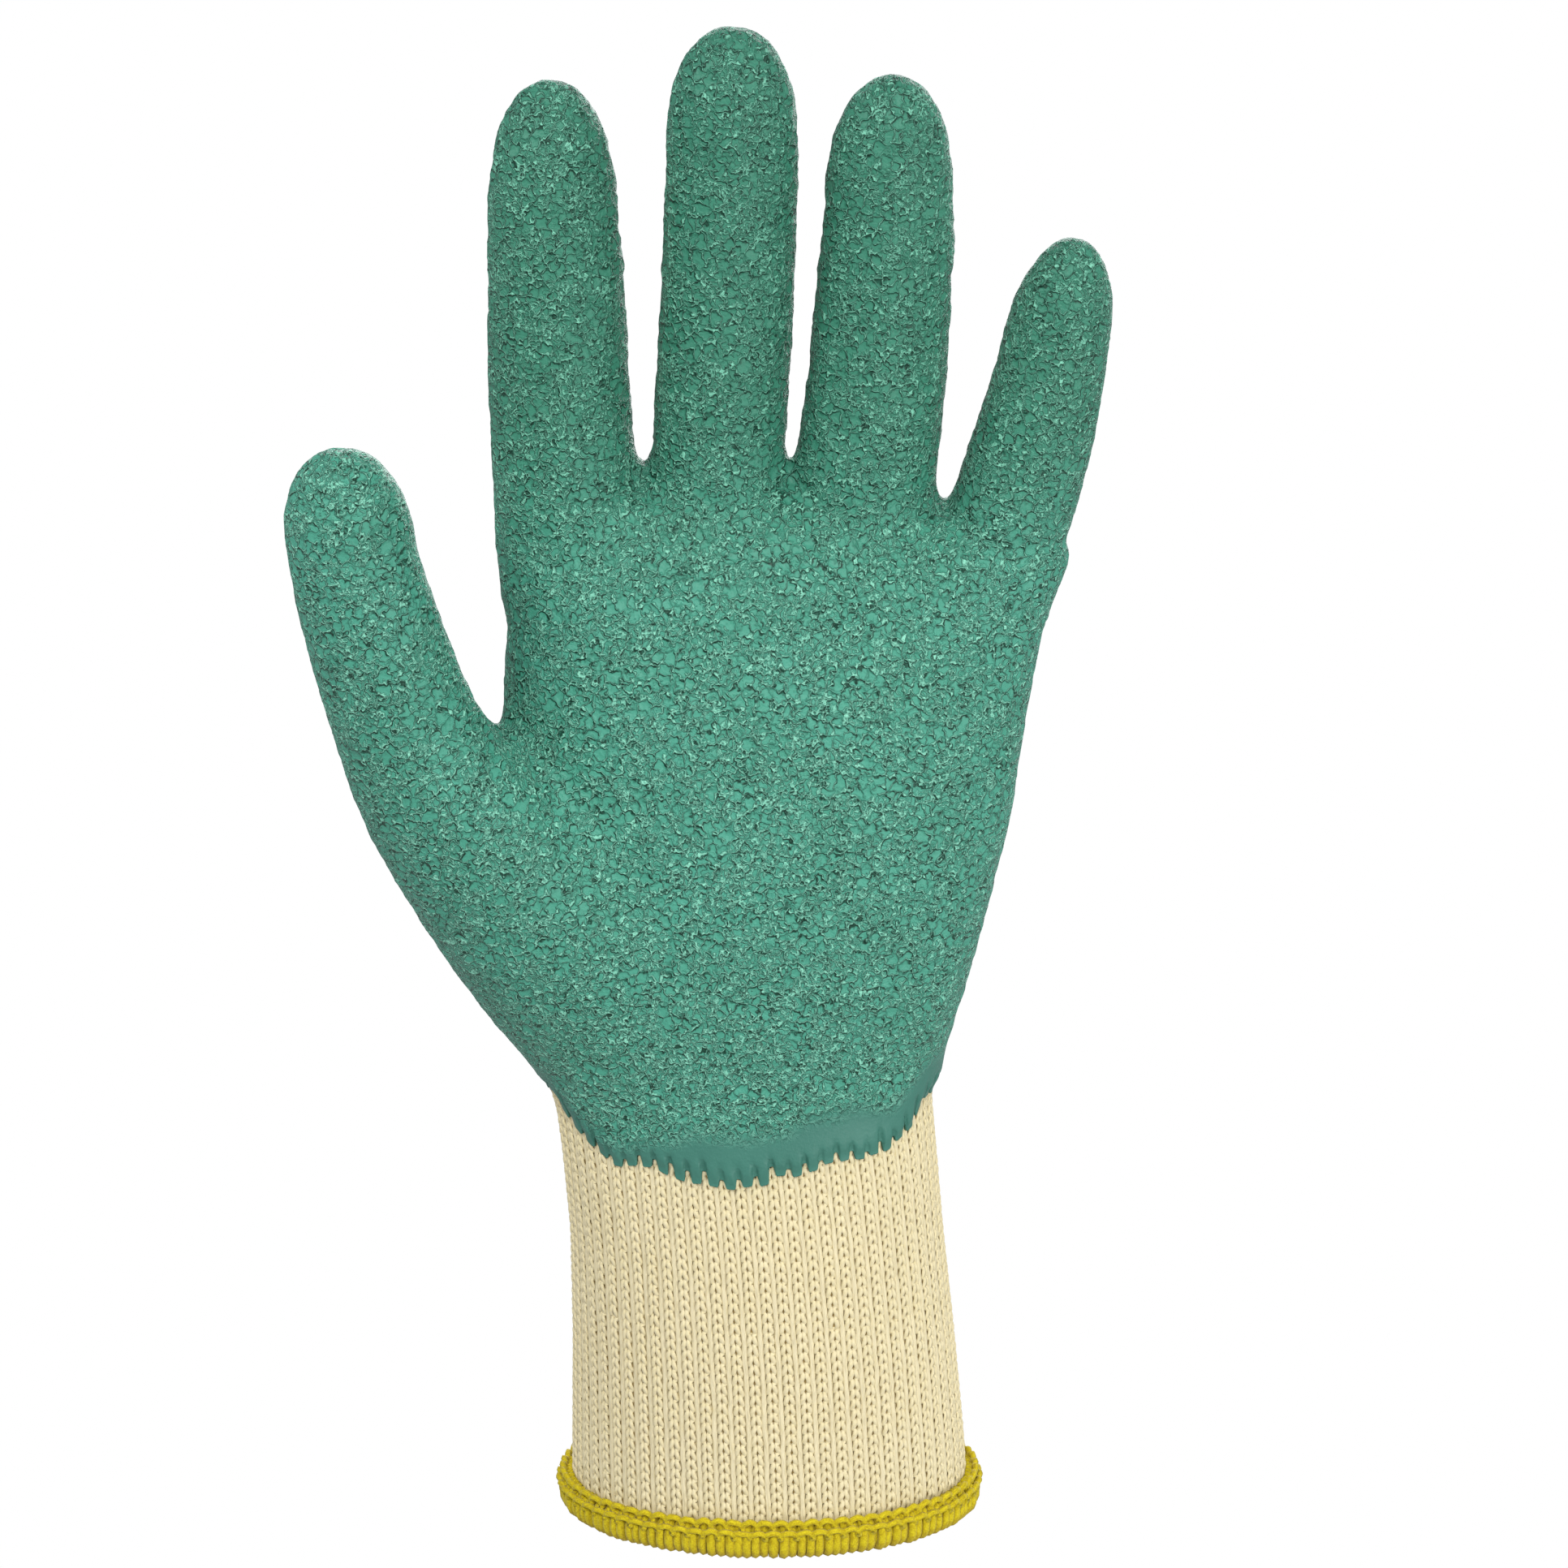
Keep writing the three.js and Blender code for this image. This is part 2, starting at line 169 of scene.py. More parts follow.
# Form of the glove over its knit, as upright columns of sections. Body sections have their own
# left, right, front and back reach; square is how far an oval is squared off (2 is an ellipse)
bodyNames = ("z", "left", "right", "front", "back", "square")
bodyRows = [
    (0, 33.4, 33.2, 24.0, 24.0, 2.0), (12, 33.3, 32.4, 24.0, 24.0, 2.05),
    (31, 33.0, 30.6, 24.0, 23.5, 2.1), (50, 33.2, 28.5, 23.5, 22.6, 2.15),
    (64, 34.4, 27.3, 22.6, 21.0, 2.2), (74, 35.6, 26.4, 21.6, 19.6, 2.2),
    (82, 37.5, 27.6, 21.8, 18.7, 2.25), (94, 39.2, 31.0, 23.2, 18.0, 2.3),
    (108, 41.0, 34.5, 23.8, 17.6, 2.35), (123, 42.0, 37.9, 22.8, 16.8, 2.4),
    (140, 41.8, 40.2, 20.3, 16.0, 2.45), (152, 41.0, 42.4, 17.6, 15.2, 2.5),
    (160, 41.2, 45.0, 15.4, 13.9, 2.5), (165, 41.4, 46.6, 13.4, 12.6, 2.4),
    (169, 40.9, 38.0, 11.4, 10.8, 2.3), (172, 39.8, 25.8, 9.2, 9.0, 2.3),
    (174.8, 38.4, 23.6, 6.0, 6.2, 2.2), (177, 35.0, 21.0, 2.6, 2.8, 2.0),
]
# Finger and thumb sections: middle x and y, half width and half depth; each ends in a round cap
# that starts at shoulder and is cap long
digitNames = ("z", "x", "y", "wide", "deep")
digits = {
    "index": {"shoulder": 220.5, "cap": 19.3, "rows": [
        (158, -31.8, 0.0, 8.6, 7.6), (170, -32.7, 0.0, 10.0, 9.6), (180, -33.0, 0.0, 10.2, 10.0),
        (195, -33.6, -0.5, 10.1, 9.9), (205, -33.7, -1.2, 9.8, 9.5), (215, -33.9, -2.2, 9.45, 9.1),
        (222, -34.0, -3.0, 9.1, 8.6), (240, -34.2, -5.6, 9.0, 8.0),
    ]},
    "middle": {"shoulder": 233.0, "cap": 15.4, "rows": [
        (158, -8.6, 0.0, 8.0, 7.4), (170, -8.4, 0.0, 9.2, 9.2), (184, -8.1, -0.1, 9.4, 9.6),
        (205, -6.8, -1.3, 9.45, 9.3), (226, -5.9, -3.8, 9.3, 8.6), (234, -5.9, -5.0, 9.05, 8.2),
        (248, -5.8, -7.6, 8.9, 7.8),
    ]},
    "ring": {"shoulder": 224.5, "cap": 16.3, "rows": [
        (155, 13.6, 0.0, 8.4, 7.4), (168, 14.6, 0.0, 9.8, 9.2), (178, 15.3, 0.0, 10.1, 9.7),
        (197, 17.3, -0.7, 9.85, 9.4), (216, 18.5, -2.6, 9.35, 8.8), (226, 18.7, -4.0, 8.75, 8.2),
        (241, 19.1, -7.0, 8.5, 7.6),
    ]},
    "little": {"shoulder": 200.5, "cap": 14.3, "rows": [
        (148, 30.2, 0.0, 7.6, 6.8), (160, 34.2, 0.0, 9.2, 8.2), (168, 37.2, 0.0, 9.45, 8.9),
        (175, 39.7, 0.0, 9.05, 8.8), (183, 41.8, -0.3, 8.6, 8.4), (190, 43.4, -0.9, 8.1, 8.0),
        (200, 45.4, -2.2, 7.2, 7.2), (215, 47.5, -4.6, 6.7, 6.4),
    ]},
    "thumb": {"shoulder": 172.0, "cap": 12.8, "rows": [
        (76, -20.0, -4.0, 12.0, 10.0), (86, -25.0, -5.5, 18.0, 14.0), (100, -32.6, -8.3, 19.4, 15.8),
        (112, -39.8, -10.8, 18.6, 15.2), (120, -45.2, -12.4, 17.4, 14.2), (130, -51.4, -14.6, 14.6, 12.8),
        (138, -56.4, -16.0, 11.6, 11.1), (145, -59.3, -17.0, 10.6, 10.5), (158, -63.0, -18.6, 9.8, 9.9),
        (170, -65.7, -19.9, 8.9, 8.9), (185, -66.7, -21.7, 8.5, 8.2),
    ]},
}
fingerNames = ("index", "middle", "ring", "little")
form = {
    "bottom": 1.7,  # lower edge of the knit inside the hem
    "bodyTop": 177.0,
    "fingerBlend": 4.5,  # fillet between fingers and hand
    "thumbBlend": 7.0,
    "capPower": 2.2,
    "soften": 7.0,
    "fineStep": 0.5,  # between the entries of a smooth table
    "beyond": 30,  # how far it runs on past its rows
    "slopeShift": 0.25,
}


# Columns of a table as smooth functions of height: linear between rows, then averaged over soften
def smoothTable(names, rows, soften):
    z, *columns = np.array(rows).T
    fine = np.arange(z[0] - form["beyond"], z[-1] + form["beyond"], form["fineStep"])
    window = np.hanning(int(soften / form["fineStep"]) * 2 + 1)
    window /= window.sum()
    smooth = {}
    for name, column in zip(names[1:], columns):
        padded = np.pad(np.interp(fine, z, column), len(window) // 2, mode="edge")
        smooth[name] = np.convolve(padded, window, "valid")
    return {"fine": fine, "columns": smooth}


bodyTable = smoothTable(bodyNames, bodyRows, form["soften"] / 2)
digitTables = {name: smoothTable(digitNames, digit["rows"], form["soften"]) for name, digit in digits.items()}


# Row of a smooth table at each height
def rowAt(table, z):
    return {name: np.interp(z, table["fine"], values) for name, values in table["columns"].items()}


# Middle and half widths of a body section, across and deep
def ovalOf(row):
    middle = (row["right"] - row["left"]) / 2, (row["back"] - row["front"]) / 2
    half = (row["right"] + row["left"]) / 2, (row["back"] + row["front"]) / 2
    return *middle, *half


# Distance to a column by its roundness, which is 1 on its face: r (1 - 1 / roundness); beyond its
# flat end it is the distance to that end
def columnDistance(squares, roundness, beyond):
    beside = (np.sqrt(squares) + 1e-6) * (1 - 1 / (roundness + 1e-9))
    return np.where(beyond > 0, np.hypot(np.maximum(beside, 0), beyond), beside)


# Distance to the body, whose sections are the ovals |u|^n + |v|^n = 1
def bodyDistance(x, y, z):
    row = rowAt(bodyTable, np.minimum(z, form["bodyTop"]))
    middleX, middleY, halfWide, halfDeep = ovalOf(row)
    across, deep = x - middleX, y - middleY
    power = row["square"]
    roundness = (np.abs(across / halfWide) ** power + np.abs(deep / halfDeep) ** power) ** (1 / power)
    return columnDistance(across ** 2 + deep ** 2, roundness, z - form["bodyTop"])


# Distance to a finger or the thumb, whose cap adds its own rise to the roundness
def digitDistance(name, x, y, z):
    digit = digits[name]
    row = rowAt(digitTables[name], z)
    across, deep = x - row["x"], y - row["y"]
    rise = np.maximum(z - digit["shoulder"], 0)
    flat = (across / row["wide"]) ** 2 + (deep / row["deep"]) ** 2
    power = form["capPower"]
    roundness = (flat ** (power / 2) + (rise / digit["cap"]) ** power) ** (1 / power)
    return columnDistance(across ** 2 + deep ** 2 + rise ** 2, roundness, digit["rows"][0][0] - z)


# Union of two distances with a fillet of size soft between them
def softUnion(first, second, soft):
    near = np.maximum(soft - np.abs(first - second), 0) / soft
    return np.minimum(first, second) - near * near * soft / 4


# Distance to the knit's outer face over the whole hand, negative inside
def handDistance(x, y, z):
    body = bodyDistance(x, y, z)
    whole = softUnion(body, digitDistance("thumb", x, y, z), form["thumbBlend"])
    for name in fingerNames:
        whole = np.minimum(whole, softUnion(body, digitDistance(name, x, y, z), form["fingerBlend"]))
    return whole


# Points moved onto the face that lies level above the knit, and the face's directions there:
# Newton steps p - (d - level) g / |g|^2
def ontoFace(points, level, steps):
    points = points.copy()
    slope = np.empty_like(points)
    for step in range(steps + 1):
        for axis, shift in enumerate(form["slopeShift"] * np.eye(3)):
            rise = handDistance(*(points + shift).T) - handDistance(*(points - shift).T)
            slope[:, axis] = rise / (2 * form["slopeShift"])
        if step < steps:
            gap = handDistance(*points.T) - level
            points -= slope * (gap / np.maximum((slope ** 2).sum(1), 0.05))[:, None]
    return points, slope / np.sqrt((slope ** 2).sum(1))[:, None]


# Skin of a sampled field where it crosses zero: one point in each mixed cell at the mean of its
# edge crossings, and a face across each crossed edge
def skinOf(field, low, step):
    inside = field < 0
    cells = tuple(n - 1 for n in field.shape)
    total = np.zeros(cells, int)
    for corner in np.ndindex(2, 2, 2):
        total += inside[tuple(slice(c, c + n) for c, n in zip(corner, cells))]
    places = np.argwhere((total > 0) & (total < 8))
    number = np.full(cells, -1)
    number[tuple(places.T)] = np.arange(len(places))
    sums = np.zeros((len(places), 3))
    counts = np.zeros(len(places))
    quads = []
    for axis in range(3):
        unit, firstSide, secondSide = np.roll(np.eye(3, dtype=int), -axis, 0)
        for offset in (0 * unit, firstSide, secondSide, firstSide + secondSide):
            start = places + offset
            end = start + unit
            here = field[tuple(start.T)]
            there = field[tuple(end.T)]
            crossed = (here < 0) != (there < 0)
            share = here[crossed] / (here[crossed] - there[crossed])
            sums[crossed] += start[crossed] + share[:, None] * unit
            counts[crossed] += 1
        before = tuple(slice(0, n - u) for n, u in zip(field.shape, unit))
        after = tuple(slice(u, n) for n, u in zip(field.shape, unit))
        edges = np.argwhere(inside[before] != inside[after])
        sides = [(axis + 1) % 3, (axis + 2) % 3]
        keep = (edges[:, sides] > 0).all(1) & (edges[:, sides] < np.array(cells)[sides]).all(1)
        edges = edges[keep]
        corners = [edges - firstSide - secondSide, edges - secondSide, edges, edges - firstSide]
        quad = np.stack([number[tuple(c.T)] for c in corners], 1)
        outward = inside[tuple(edges.T)]
        quad[~outward] = quad[~outward][:, ::-1]
        quads.append(quad[(quad >= 0).all(1)])
    quads = np.concatenate(quads)
    triangles = np.concatenate([quads[:, [0, 1, 2]], quads[:, [0, 2, 3]]])
    return low + step * sums / counts[:, None], triangles


# Skin of the hand at a level above the knit, in the liner's box with a margin, from a bottom up
def handSkin(level, margin, bottom, step):
    corner, top = linerLow / mm, linerHigh / mm
    low = [corner.x - margin, corner.y - margin, bottom]
    high = [top.x + margin, top.y + margin, top.z + margin]
    axes = [np.arange(low[k], high[k] + step, step) for k in range(3)]
    field = handDistance(*np.meshgrid(*axes, indexing="ij", sparse=True)) - level
    points, triangles = skinOf(field, np.array(low, float), step)
    return ontoFace(points, level, 2)[0], triangles


# Points and triangles without the points that no triangle uses
def dropUnused(points, triangles):
    used = np.zeros(len(points), bool)
    used[triangles.ravel()] = True
    number = np.cumsum(used) - 1
    return points[used], number[triangles]


# The two ends of each triangle's three edges
def edgeEnds(triangles):
    return triangles[:, [[0, 1], [1, 2], [2, 0]]].reshape(-1, 2)


# Triangles cut at a share of each chosen edge; a triangle becomes 2, 3 or 4 as it has 1, 2 or 3
# cut edges. choose gives, for the two ends of every edge, which edges to cut and where
def cutEdges(points, triangles, choose):
    edges, which = np.unique(np.sort(edgeEnds(triangles), 1), axis=0, return_inverse=True)
    which = which.reshape(-1, 3)
    chosen, share = choose(edges)
    middles = np.full(len(edges), -1)
    middles[chosen] = len(points) + np.arange(chosen.sum())
    first, last = points[edges[chosen, 0]], points[edges[chosen, 1]]
    points = np.concatenate([points, first + (last - first) * share[chosen, None]])
    cut = middles[which]
    hits = (cut >= 0).sum(1)
    made = [triangles[hits == 0]]
    for count in (1, 2, 3):
        rows = hits == count
        if count == 1:
            start = np.argmax(cut[rows] >= 0, 1)
        elif count == 2:
            start = (np.argmin(cut[rows] >= 0, 1) + 1) % 3
        else:
            start = np.zeros(rows.sum(), int)
        order = (np.arange(3) + start[:, None]) % 3
        a, b, c = np.take_along_axis(triangles[rows], order, 1).T
        p, q, r = np.take_along_axis(cut[rows], order, 1).T
        if count == 1:
            parts = [(a, p, c), (p, b, c)]
        elif count == 2:
            parts = [(p, b, q), (a, p, q), (a, q, c)]
        else:
            parts = [(a, p, r), (p, b, q), (r, q, c), (p, q, r)]
        made += [np.stack(part, 1) for part in parts]
    return points, np.concatenate(made)


# Triangles where value is positive, cut cleanly along value = 0
def keepPositive(points, triangles, value, snap):
    value = np.where(np.abs(value) < snap, 0, value)

    def choose(edges):
        first, last = value[edges[:, 0]], value[edges[:, 1]]
        crossed = first * last < 0
        share = np.where(crossed, first / np.where(crossed, first - last, 1), 0)
        return crossed, share

    count = len(points)
    points, triangles = cutEdges(points, triangles, choose)
    value = np.concatenate([value, np.zeros(len(points) - count)])
    triangles = triangles[(value[triangles].max(1) > 0) & (value[triangles].min(1) >= 0)]
    return dropUnused(points, triangles)


# Closed shell between an outer skin and its inner copy, with a rim along their open edges
def closedShell(outer, inner, triangles):
    count = len(outer)
    ends = edgeEnds(triangles)
    forward = ends[:, 0] * count + ends[:, 1]
    backward = ends[:, 1] * count + ends[:, 0]
    a, b = ends[~np.isin(forward, backward)].T
    rim = np.concatenate([np.stack([b, a, a + count], 1), np.stack([b, a + count, b + count], 1)])
    return np.concatenate([outer, inner]), np.concatenate([triangles, triangles[:, ::-1] + count, rim])


# Mesh object from points in mm and arrays of faces with 3, 4 or more corners
def meshFrom(name, points, faceArrays, material, corners=None):
    mesh = bpy.data.meshes.new(name)
    sizes = np.concatenate([np.full(len(faces), faces.shape[1]) for faces in faceArrays])
    loops = np.concatenate([faces.ravel() for faces in faceArrays])
    mesh.vertices.add(len(points))
    mesh.vertices.foreach_set("co", (points * mm).astype(np.float32).ravel())
    mesh.loops.add(len(loops))
    mesh.loops.foreach_set("vertex_index", loops.astype(np.int32))
    mesh.polygons.add(len(sizes))
    starts = np.concatenate([[0], np.cumsum(sizes)[:-1]])
    mesh.polygons.foreach_set("loop_start", starts.astype(np.int32))
    mesh.polygons.foreach_set("use_smooth", np.ones(len(sizes), bool))
    mesh.update(calc_edges=True)
    if corners is not None:
        layer = mesh.uv_layers.new(name="surface")
        layer.data.foreach_set("uv", corners(loops).astype(np.float32).ravel())
    mesh.materials.append(material)
    piece = bpy.data.objects.new(name, mesh)
    bpy.context.scene.collection.objects.link(piece)
    return piece


# Knit gauge: wales are counted round the hand from its right side over the back, courses upwards
knit = {
    "wales": 64,
    "pitch": 2.85,  # mm from wale to wale on the hand
    "course": 1.75,
    "yarnWide": 0.44,  # half width of the yarn, pressed flat
    "yarnDeep": 0.28,
    "middle": -0.40,  # level of the yarn's middle against the knit's face
    "bulge": 0.22,  # how far legs stand in front of the sinkers
    "lean": 0.14,  # the top of a leg stands in front of its foot
    "headDrop": 0.55,  # heads pass behind the strips between the columns
    "rise": 1.34,  # half the loop's height
    "pinch": 0.28,  # legs drawn to the column's middle
    "splay": 0.45,  # legs spread towards their feet
    "stripWide": 0.56,  # half width of the soft strip between two columns
    "stripDeep": 0.30,
    "stripMiddle": -0.49,
    "straight": 158.0,
    "base": -0.62,
    "inner": -1.8,
    "wallStep": 2.0,
    "wallMargin": 2.2,
    "stagger": 0.10,  # spreads of the loops and strips; the first two are in courses
    "jitter": 0.035,
    "stand": 0.02,
    "stripSway": 0.02,
    "stripStand": 0.055,
    "gaugeStep": 2.0,  # mm between the heights at which the wales are shared out
    "gaugeTurns": 1441,
}
seedPicks = np.random.default_rng(7)


# Point of an oval section at a turn: its right, back, left and front come at equal quarters
def sectionPoint(row, turn):
    power = 2 / row["square"]
    across = np.sign(np.cos(turn)) * np.abs(np.cos(turn)) ** power
    deep = np.sign(np.sin(turn)) * np.abs(np.sin(turn)) ** power
    middleX, middleY, halfWide, halfDeep = ovalOf(row)
    return middleX + halfWide * across, middleY + halfDeep * deep


# Wales shared out evenly by length, half over the back and half over the front: the wale at each
# height and turn, and the turn at each height and wale
def shareWales():
    heights = np.arange(0, knit["straight"] + knit["gaugeStep"], knit["gaugeStep"])
    turns = np.linspace(0, 2 * np.pi, knit["gaugeTurns"])
    counts = np.linspace(0, knit["wales"], knit["gaugeTurns"])
    row = {name: values[:, None] for name, values in rowAt(bodyTable, heights).items()}
    x, y = sectionPoint(row, turns[None, :])
    steps = np.hypot(np.diff(x, axis=1), np.diff(y, axis=1)).reshape(len(heights), 2, -1)
    steps *= knit["wales"] / 2 / steps.sum(2, keepdims=True)
    wales = np.concatenate([0 * heights[:, None], np.cumsum(steps.reshape(len(heights), -1), 1)], 1)
    backTurns = np.stack([np.interp(counts, line, turns) for line in wales])
    return {"wales": wales, "turns": backTurns}


gauge = shareWales()


# Entries of a table at broken row and column numbers, mixed from the four around them
def mixFour(table, i, j):
    i = np.clip(i, 0, len(table) - 1.001)
    j = np.clip(j, 0, table.shape[1] - 1.001)
    i0, j0 = i.astype(int), j.astype(int)
    u, v = i - i0, j - j0
    if table.ndim == 3:
        u, v = u[..., None], v[..., None]
    low = table[i0, j0] * (1 - v) + table[i0, j0 + 1] * v
    high = table[i0 + 1, j0] * (1 - v) + table[i0 + 1, j0 + 1] * v
    return low * (1 - u) + high * u


# Entry of a gauge table at heights and at shares of the whole round
def gaugeAt(table, z, share):
    return mixFour(table, np.minimum(z, knit["straight"]) / knit["gaugeStep"], share * (table.shape[1] - 1))


# Wale number of points by their turn round the body's section, and back; over the knuckles the
# wales run straight up
def waleAt(x, y, z):
    row = rowAt(bodyTable, np.minimum(z, knit["straight"]))
    middleX, middleY, halfWide, halfDeep = ovalOf(row)
    across, deep = (x - middleX) / halfWide, (y - middleY) / halfDeep
    deep = np.where(z > 165, np.maximum(deep, 0.7), deep)
    half = row["square"] / 2
    turn = np.arctan2(np.sign(deep) * np.abs(deep) ** half, np.sign(across) * np.abs(across) ** half)
    return gaugeAt(gauge["wales"], z, turn / (2 * np.pi) % 1)


def bodyPoint(wale, z):
    turn = gaugeAt(gauge["turns"], z, wale / knit["wales"] % 1)
    x, y = sectionPoint(rowAt(bodyTable, np.minimum(z, knit["straight"])), turn)
    return np.stack([x, y, z + 0 * x], -1)


# Edge of the latex: across the front it follows the dip line of the bath, at the sides it runs up
# the hand at the depth wrap, and finger ends and the whole thumb are covered
coat = {
    "step": 0.74,
    "film": 1.2,  # outer face above the knit's face
    "edgeFilm": 0.42,
    "under": -0.2,
    "frontEdge": [(-36, 75.5), (-34.5, 73.9), (-32.3, 71.4), (-29.9, 69.1), (-25.9, 66.9), (-19.5, 67.0),
                  (-13, 65.4), (-3.8, 64.9), (3, 66.2), (6.6, 67.3), (14.5, 68.5), (19.8, 68.8),
                  (22.8, 71.1), (25.2, 74.2), (26.7, 74.9)],
    "slope": 0.5,
    "wrap": 3.0,
    "tipWrap": 12.0,
    "thumbSide": -43.2,
    "tab": 1.5,
    "band": [(-36, 3.2), (-23, 4.2), (-13, 7.5)],  # height of the smooth band at the wrist, by x
    "margin": 4,
    "bottom": 58,
    "edgeEase": 3.0,  # mm over which the film thins to its edge
    "drawnOut": (1, 0.62, 1),  # cells reach through the film, so that folds stand across it
    "insideKept": 0.56,  # share of the faces that stays when the hidden face is thinned
    "lift": 0.6,  # displacement by the swell
}
tabHeights = coat["tab"] * seedPicks.uniform(0.45, 1.35, knit["wales"])
toothDrops = seedPicks.uniform(0.0, 0.7, knit["wales"] + 1)


# Slow waver made of a few sines, about -1 to 1
def waver(x, y, z, size):
    a = np.sin(x / size * 1.3 + 2.1 * np.sin(z / size * 0.7 + 1.0))
    b = np.sin(z / size * 1.7 + 1.6 * np.sin(y / size * 1.1 + x / size * 0.6))
    return (a + b) / 2


# How far inside the latex's edge points lie, in mm, and the same for the dip line alone
def coatReach(x, y, z):
    wale = waleAt(x, y, z)
    phase = wale % 1 - 0.5
    number = np.floor(wale).astype(int) % knit["wales"]
    tab = tabHeights[number] * np.exp(-(np.abs(phase) / 0.19) ** 6)
    strip = np.round(wale).astype(int)
    tooth = toothDrops[strip] * np.exp(-((wale - strip) / 0.32) ** 8)
    line = np.interp(x, *np.array(coat["frontEdge"]).T)
    frontLine = z - line - coat["slope"] * np.maximum(y + 6, 0) + 0.5 * waver(x, y, z, 2.1)
    wrapY = coat["wrap"] - 0.11 * np.maximum(z - 177, 0)
    sideLine = wrapY - y + 1.0 * waver(x, y, z, 3.0) + 0.4 * waver(z, x, y, 0.9)
    reach = np.minimum(frontLine - tab + tooth, sideLine)
    ragged = 1.2 * waver(x, y, z, 2.4)
    for name in fingerNames:
        overTip = z - digits[name]["shoulder"] - digits[name]["cap"] + coat["tipWrap"] + ragged
        beside = 11.5 - np.abs(x - rowAt(digitTables[name], z)["x"])
        reach = np.maximum(reach, np.minimum(overTip, beside))
    thumb = np.minimum(coat["thumbSide"] - x + ragged, z - 84)
    return np.maximum(reach, thumb), frontLine


# Kinds of node that the materials share, and the settings of a soft ramp
noise, cells, ramp = "ShaderNodeTexNoise", "ShaderNodeTexVoronoi", "ShaderNodeMapRange"
maths, vectors = "ShaderNodeMath", "ShaderNodeVectorMath"
softly = {"interpolation_type": "SMOOTHSTEP"}

# The crumpled film: a net of thin curling folds round sunken cells. The folds are the borders of a
# cell pattern bent by noise, in two sizes, the small one only in busy patches and near the wrist.
# Below each fold lies a painted shadow, a dark strip standing in for the shade the fold would cast
crinkle = {
    "sizes": {  # mm
        "curl": 1.1, "cell": 1.75, "smallCell": 1.1, "patch": 4.0, "vary": 1.2, "torn": 0.85,
        "spot": 0.95, "fine": 0.6, "swell": 3.2,
    },
    "curlReach": 0.95,  # mm that the painted shadow lies below its fold
    "foldHalf": 0.135,  # half a fold's width, in cells
    "wider": 1.2,  # small folds and undercuts reach this much further
    "shadowDrop": 0.28,  # mm that the dark hollow lies below its fold
}


